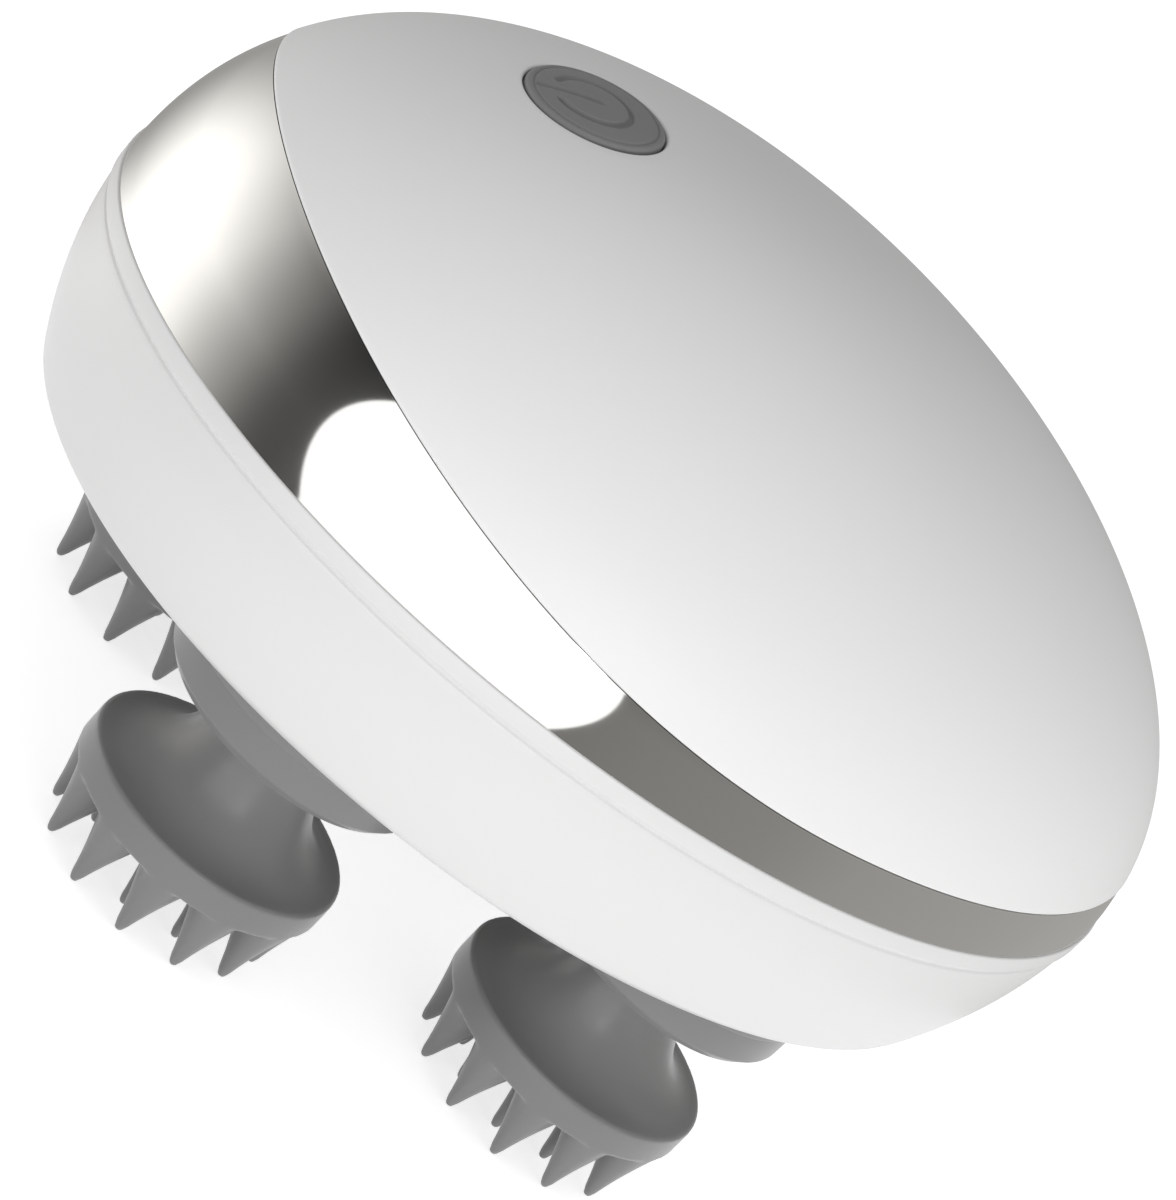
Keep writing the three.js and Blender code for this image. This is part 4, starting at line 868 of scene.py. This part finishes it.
def block(name, length, width, height, z):
    """A block about the Z axis, with its middle at a height."""
    sides = ((-1, -1), (1, -1), (1, 1), (-1, 1))
    corners = [(x * length / 2, y * width / 2, z + k * height / 2) for k in (-1, 1) for x, y in sides]
    faces = [(3, 2, 1, 0), (4, 5, 6, 7), (0, 1, 5, 4), (1, 2, 6, 5), (2, 3, 7, 6), (3, 0, 4, 7)]
    return mesh_object(name, corners, faces)


def shader(name, color, roughness, metallic=0.0):
    """A named material with its colour, roughness and metal share on the shader's own sockets."""
    finish = bpy.data.materials.new(name)
    finish.use_nodes = True
    bsdf = finish.node_tree.nodes["Principled BSDF"]
    bsdf.inputs["Base Color"].default_value = (*color, 1)
    bsdf.inputs["Roughness"].default_value = roughness
    bsdf.inputs["Metallic"].default_value = metallic
    return finish, finish.node_tree, bsdf


def noise(tree, scale, detail):
    """Noise over the object's own coordinates, with the scale in cells to a millimetre."""
    place = tree.nodes.new("ShaderNodeTexCoord")
    texture = tree.nodes.new("ShaderNodeTexNoise")
    texture.inputs["Scale"].default_value = scale / MM
    texture.inputs["Detail"].default_value = detail
    tree.links.new(place.outputs["Object"], texture.inputs["Vector"])
    return texture.outputs["Fac"]


def add_relief(tree, bsdf, height, strength, depth):
    """Fine relief in the material, with its depth in millimetres."""
    bump = tree.nodes.new("ShaderNodeBump")
    bump.inputs["Strength"].default_value = strength
    bump.inputs["Distance"].default_value = depth * MM
    tree.links.new(height, bump.inputs["Height"])
    tree.links.new(bump.outputs["Normal"], bsdf.inputs["Normal"])


def spread(tree, value, low, high, start=0, end=1):
    """A value from the start to the end of one range, spread over another."""
    ranged = tree.nodes.new("ShaderNodeMapRange")
    ranged.inputs["From Min"].default_value = start
    ranged.inputs["From Max"].default_value = end
    ranged.inputs["To Min"].default_value = low
    ranged.inputs["To Max"].default_value = high
    tree.links.new(value, ranged.inputs["Value"])
    return ranged.outputs["Result"]


def plain(name, color, roughness, low, high, grain, detail=4, metallic=0.0, specular=0.5):
    """A finish without relief, whose roughness varies between two values."""
    finish, tree, bsdf = shader(name, color, roughness, metallic)
    bsdf.inputs["Specular IOR Level"].default_value = specular
    tree.links.new(spread(tree, noise(tree, grain, detail), low, high), bsdf.inputs["Roughness"])
    return finish


def metal(name, color, roughness, grain):
    """A polished or turned metal."""
    return plain(name, color, roughness, roughness - 0.08, roughness + 0.1, grain, detail=8, metallic=1)


def soft(name, color, roughness, grain):
    """A rubbery finish with a faint sheen."""
    finish, tree, bsdf = shader(name, color, roughness)
    bsdf.inputs["Sheen Weight"].default_value = 0.12
    bsdf.inputs["Sheen Roughness"].default_value = 0.5
    cells = noise(tree, grain, detail=6)
    tree.links.new(spread(tree, cells, roughness - 0.05, roughness + 0.06), bsdf.inputs["Roughness"])
    add_relief(tree, bsdf, cells, strength=0.12, depth=0.05)
    return finish


def moulded(name, color, roughness, grain):
    """A hard plastic finish with a fine grain."""
    finish, tree, bsdf = shader(name, color, roughness)
    cells = noise(tree, grain, detail=5)
    tree.links.new(spread(tree, cells, roughness - 0.06, roughness + 0.06), bsdf.inputs["Roughness"])
    add_relief(tree, bsdf, cells, strength=0.1, depth=0.04)
    return finish


FINISHES = {
    "pearl_cover": plain(
        "pearl_cover", (0.85, 0.85, 0.845), 0.45, low=0.42, high=0.49, grain=2.5, detail=2, specular=0.4),
    "chrome_trim": plain(
        "chrome_trim", (0.80, 0.795, 0.775), 0.05, low=0.04, high=0.075, grain=0.05, detail=2, metallic=1),
    "white_shell": plain("white_shell", (0.77, 0.77, 0.765), 0.36, low=0.33, high=0.4, grain=1.5),
    "grey_silicone": soft("grey_silicone", (0.2, 0.2, 0.198), roughness=0.31, grain=3),
    "button_grey": soft("button_grey", (0.2, 0.2, 0.2), roughness=0.5, grain=4),
    "white_rubber": soft("white_rubber", (0.82, 0.82, 0.81), roughness=0.5, grain=3),
    "seal_rubber": soft("seal_rubber", (0.05, 0.05, 0.05), roughness=0.6, grain=2),
    "black_plastic": moulded("black_plastic", (0.03, 0.03, 0.032), roughness=0.5, grain=1.2),
    "gear_plastic": moulded("gear_plastic", (0.78, 0.74, 0.62), roughness=0.42, grain=1.2),
    "steel": metal("steel", (0.6, 0.6, 0.61), roughness=0.28, grain=4),
    "bronze": metal("bronze", (0.5, 0.32, 0.14), roughness=0.42, grain=6),
    "cell_wrap": moulded("cell_wrap", (0.06, 0.17, 0.4), roughness=0.35, grain=0.6),
    "circuit_board": moulded("circuit_board", (0.02, 0.14, 0.06), roughness=0.4, grain=2),
    "lead_jacket": soft("lead_jacket", (0.04, 0.04, 0.042), roughness=0.5, grain=2),
}


def numbered(name, count):
    """The names of a row of nodes, counted from 1."""
    return [f"{name}_{number}" for number in range(1, count + 1)]


NODE_FINISHES = {
    "seal_rubber": ["housing_seal", "button_seal"],
    "bronze": numbered("spindle_bush", 4) + ["motor_pinion"],
    "black_plastic": ["deck", "gearbox", "battery_cradle", "tact_switch"] + numbered("cup_core", 4),
    "steel": ["sun_axle", "motor_can", "charge_socket", "motor_shaft"]
    + numbered("deck_screw", 3) + numbered("motor_screw", 2) + numbered("spindle", 4),
    "cell_wrap": ["battery_cell"],
    "circuit_board": ["main_board", "button_board"],
    "lead_jacket": ["battery_lead", "motor_lead", "button_lead"],
    "gear_plastic": ["sun_gear"] + numbered("output_gear", 4),
}


def finish_nodes():
    """The CAD nodes inside the housing keep their shape and take a finish."""
    for finish, nodes in NODE_FINISHES.items():
        for name in nodes:
            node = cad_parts[name]
            node.data.materials.clear()
            node.data.materials.append(FINISHES[finish])


def camera_axes():
    """The camera's right, up and back directions."""
    back = Vector((
        math.sin(CAMERA_AZIMUTH) * math.cos(CAMERA_ELEVATION),
        -math.cos(CAMERA_AZIMUTH) * math.cos(CAMERA_ELEVATION),
        math.sin(CAMERA_ELEVATION),
    ))
    level = Vector((math.cos(CAMERA_AZIMUTH), math.sin(CAMERA_AZIMUTH), 0))
    up = back.cross(level)
    right = level * math.cos(CAMERA_ROLL) + up * math.sin(CAMERA_ROLL)
    return right, back.cross(right), back


def add_camera():
    right, up, back = camera_axes()
    data = bpy.data.cameras.new("photo_camera")
    data.lens = PHOTO_SCALE * CAMERA_DISTANCE / PHOTO_HEIGHT * SENSOR
    data.sensor_width = SENSOR
    data.clip_start, data.clip_end = CAMERA_CLIP
    camera = linked("photo_camera", data)
    place = back * CAMERA_DISTANCE + right * CAMERA_OFFSET[0] + up * CAMERA_OFFSET[1]
    place.z += SEAM_Z
    turned = Matrix((right, up, back)).transposed().to_4x4()
    camera.matrix_world = Matrix.Translation(place * MM) @ turned
    bpy.context.scene.camera = camera


def combined(tree, operation, first, second):
    """The result of an operation on two values."""
    node = tree.nodes.new("ShaderNodeMath")
    node.operation = operation
    tree.links.new(first, node.inputs[0])
    tree.links.new(second, node.inputs[1])
    return node.outputs[0]


def seen_directly(tree):
    """1 for what the camera sees, also in metal and glass, and 0 for the light that falls on things."""
    path = tree.nodes.new("ShaderNodeLightPath")
    bright = combined(tree, "MAXIMUM", path.outputs["Is Camera Ray"], path.outputs["Is Glossy Ray"])
    return combined(tree, "MAXIMUM", bright, path.outputs["Is Transmission Ray"])


def place_in(tree, coordinates):
    """The X, Y and Z of a kind of coordinates."""
    place = tree.nodes.new("ShaderNodeTexCoord")
    split = tree.nodes.new("ShaderNodeSeparateXYZ")
    tree.links.new(place.outputs[coordinates], split.inputs[0])
    return split.outputs


def add_world():
    """A white world as seen, whose light on the object grows towards +X."""
    world = bpy.data.worlds.new("studio")
    world.use_nodes = True
    tree = world.node_tree
    background = tree.nodes["Background"]
    background.inputs["Color"].default_value = (1, 1, 1, 1)
    strength = spread(tree, seen_directly(tree), WORLD_LIGHT, 1)
    across = place_in(tree, "Generated")["X"]
    light = spread(tree, across, WORLD_LIGHT - WORLD_SLOPE, WORLD_LIGHT + WORLD_SLOPE, start=-1)
    tree.links.new(light, strength.node.inputs["To Min"])
    tree.links.new(strength, background.inputs["Strength"])
    bpy.context.scene.world = world


def add_floor():
    """A white floor that keeps the object's shadow: its own glow lifts the part in light to white."""
    half = GROUND_HALF
    corners = [(-half, -half, 0), (half, -half, 0), (half, half, 0), (-half, half, 0)]
    floor = mesh_object("floor", corners, [(0, 1, 2, 3)], sharp=0)
    finish, tree, bsdf = shader("floor_white", GROUND_COLOR, GROUND_ROUGHNESS)
    bsdf.inputs["Specular IOR Level"].default_value = 0
    bsdf.inputs["Emission Color"].default_value = (1, 1, 1, 1)
    tree.links.new(spread(tree, seen_directly(tree), *GROUND_GLOW), bsdf.inputs["Emission Strength"])
    floor.data.materials.append(finish)


def direction(azimuth, elevation):
    """The unit vector at an azimuth from +X and an elevation, both in radians."""
    return Vector((
        math.cos(azimuth) * math.cos(elevation),
        math.sin(azimuth) * math.cos(elevation),
        math.sin(elevation),
    ))


def add_lamp(name, azimuth, power):
    """A wide low lamp that faces the object."""
    data = bpy.data.lights.new(name, "AREA")
    data.shape = "RECTANGLE"
    data.size = LAMP_WIDTH
    data.size_y = LAMP_HEIGHT
    data.energy = power
    light = linked(name, data)
    away = direction(math.radians(azimuth), math.radians(LAMP_ELEVATION))
    light.location = away * LAMP_DISTANCE + Vector((0, 0, SEAM_Z * MM))
    light.rotation_euler = away.to_track_quat("Z", "Y").to_euler()
    light.visible_glossy = False


def glowing(card, name, strength=1):
    """Gives a card a white glow that only glossy faces see. Returns the material's tree and its glow."""
    finish = bpy.data.materials.new(name)
    finish.use_nodes = True
    tree = finish.node_tree
    tree.nodes.clear()
    emission = tree.nodes.new("ShaderNodeEmission")
    emission.inputs["Strength"].default_value = strength
    output = tree.nodes.new("ShaderNodeOutputMaterial")
    tree.links.new(emission.outputs[0], output.inputs["Surface"])
    card.data.materials.append(finish)
    card.visible_camera = False
    card.visible_diffuse = False
    card.visible_transmission = False
    card.visible_shadow = False
    return tree, emission


def wall_points(bearings, heights, share=1):
    """Points on the walls, or nearer by a share of their radius."""
    radians = np.radians(bearings)
    across = WALL_RADIUS * np.cos(radians) * share
    along = WALL_RADIUS * np.sin(radians) * share
    return list(zip(across, along, heights))


def add_walls():
    """A ring of grey and white walls round the object, with a foot over the floor, for glossy faces alone."""
    bearings = np.linspace(0, 360, WALL_SIDES, endpoint=False)
    low = np.full(WALL_SIDES, WALL_LOW)
    points = wall_points(bearings, low, WALL_FOOT / WALL_RADIUS)
    points += wall_points(bearings, low) + wall_points(bearings, np.full(WALL_SIDES, WALL_TOP))
    ring = mesh_object("walls", points, grid_faces(3, WALL_SIDES), sharp=0)
    ring.rotation_euler.z = math.pi  # so that the ends of the ramp meet at bearing 0
    tree, emission = glowing(ring, "wall_cards")
    place = place_in(tree, "Object")
    bearing = combined(tree, "ARCTAN2", place["Y"], place["X"])
    ramp = tree.nodes.new("ShaderNodeValToRGB")
    ramp.color_ramp.interpolation = "B_SPLINE"
    for degrees, _ in WALLS[1:-1]:
        ramp.color_ramp.elements.new(degrees / 360)
    for element, (_, value) in zip(ramp.color_ramp.elements, WALLS):
        grey = value / WALL_GLOW
        element.color = [grey * tint for tint in WALL_TINT] + [1]
    tree.links.new(spread(tree, bearing, 0, 1, -math.pi, math.pi), ramp.inputs["Fac"])
    tree.links.new(ramp.outputs["Color"], emission.inputs["Color"])
    start, end = WALL_FADE
    fade = spread(tree, place["Z"], WALL_GLOW, WALL_GLOW * WALL_FADE_LEFT, start * MM, end * MM)
    tree.links.new(fade, emission.inputs["Strength"])


def add_soft_box():
    """A tall white card in front of the walls, with bowed sides."""
    middle = SEAM_Z + SOFT_BOX_MIDDLE
    heights = np.linspace(WALL_LOW, SEAM_Z + SOFT_BOX_TOP, SOFT_BOX_HEIGHTS)
    bow = SOFT_BOX_BOW * ((heights - middle) / middle) ** 2
    first = SOFT_BOX[0] + bow
    last = SOFT_BOX[1] - bow
    points = []
    for share in np.linspace(0, 1, SOFT_BOX_ROWS):
        points += wall_points(first + (last - first) * share, heights, SOFT_BOX_SHARE)
    faces = []
    for row in range(SOFT_BOX_ROWS - 1):
        for step in range(SOFT_BOX_HEIGHTS - 1):
            corner = row * SOFT_BOX_HEIGHTS + step
            beside = corner + SOFT_BOX_HEIGHTS
            faces.append((corner, beside, beside + 1, corner + 1))
    glowing(mesh_object("soft_box", points, faces, sharp=0), "soft_box_white", SOFT_BOX_GLOW)


def add_spot_card():
    """A small round card that gives the soft heads their round highlight."""
    half = SPOT_HALF_THICKNESS
    profile = [(0, -half), (SPOT_RADIUS, -half), (SPOT_RADIUS, half), (0, half)]
    card = lathe("spot_card", profile, SMALL_ROUND)
    away = direction(SPOT_BEARING, SPOT_ELEVATION)
    turned = away.to_track_quat("Z", "Y").to_matrix().to_4x4()
    card.matrix_world = Matrix.Translation((away * SPOT_DISTANCE + Vector((0, 0, NECK_Z))) * MM) @ turned
    glowing(card, "spot_white", SPOT_GLOW)


def main():
    """The visible pieces first, then the camera, the surroundings and the light."""
    cover_skin()
    trim_skin()
    base_skin()
    skirt_skins()
    cup_skins()
    button_skin()
    plug_skin()
    screw_skins()
    finish_nodes()
    add_camera()
    add_world()
    add_floor()
    add_walls()
    add_soft_box()
    add_spot_card()
    for name, (azimuth, power) in LAMPS.items():
        add_lamp(name, azimuth, power)
    bpy.context.scene.view_settings.view_transform = "Standard"


main()
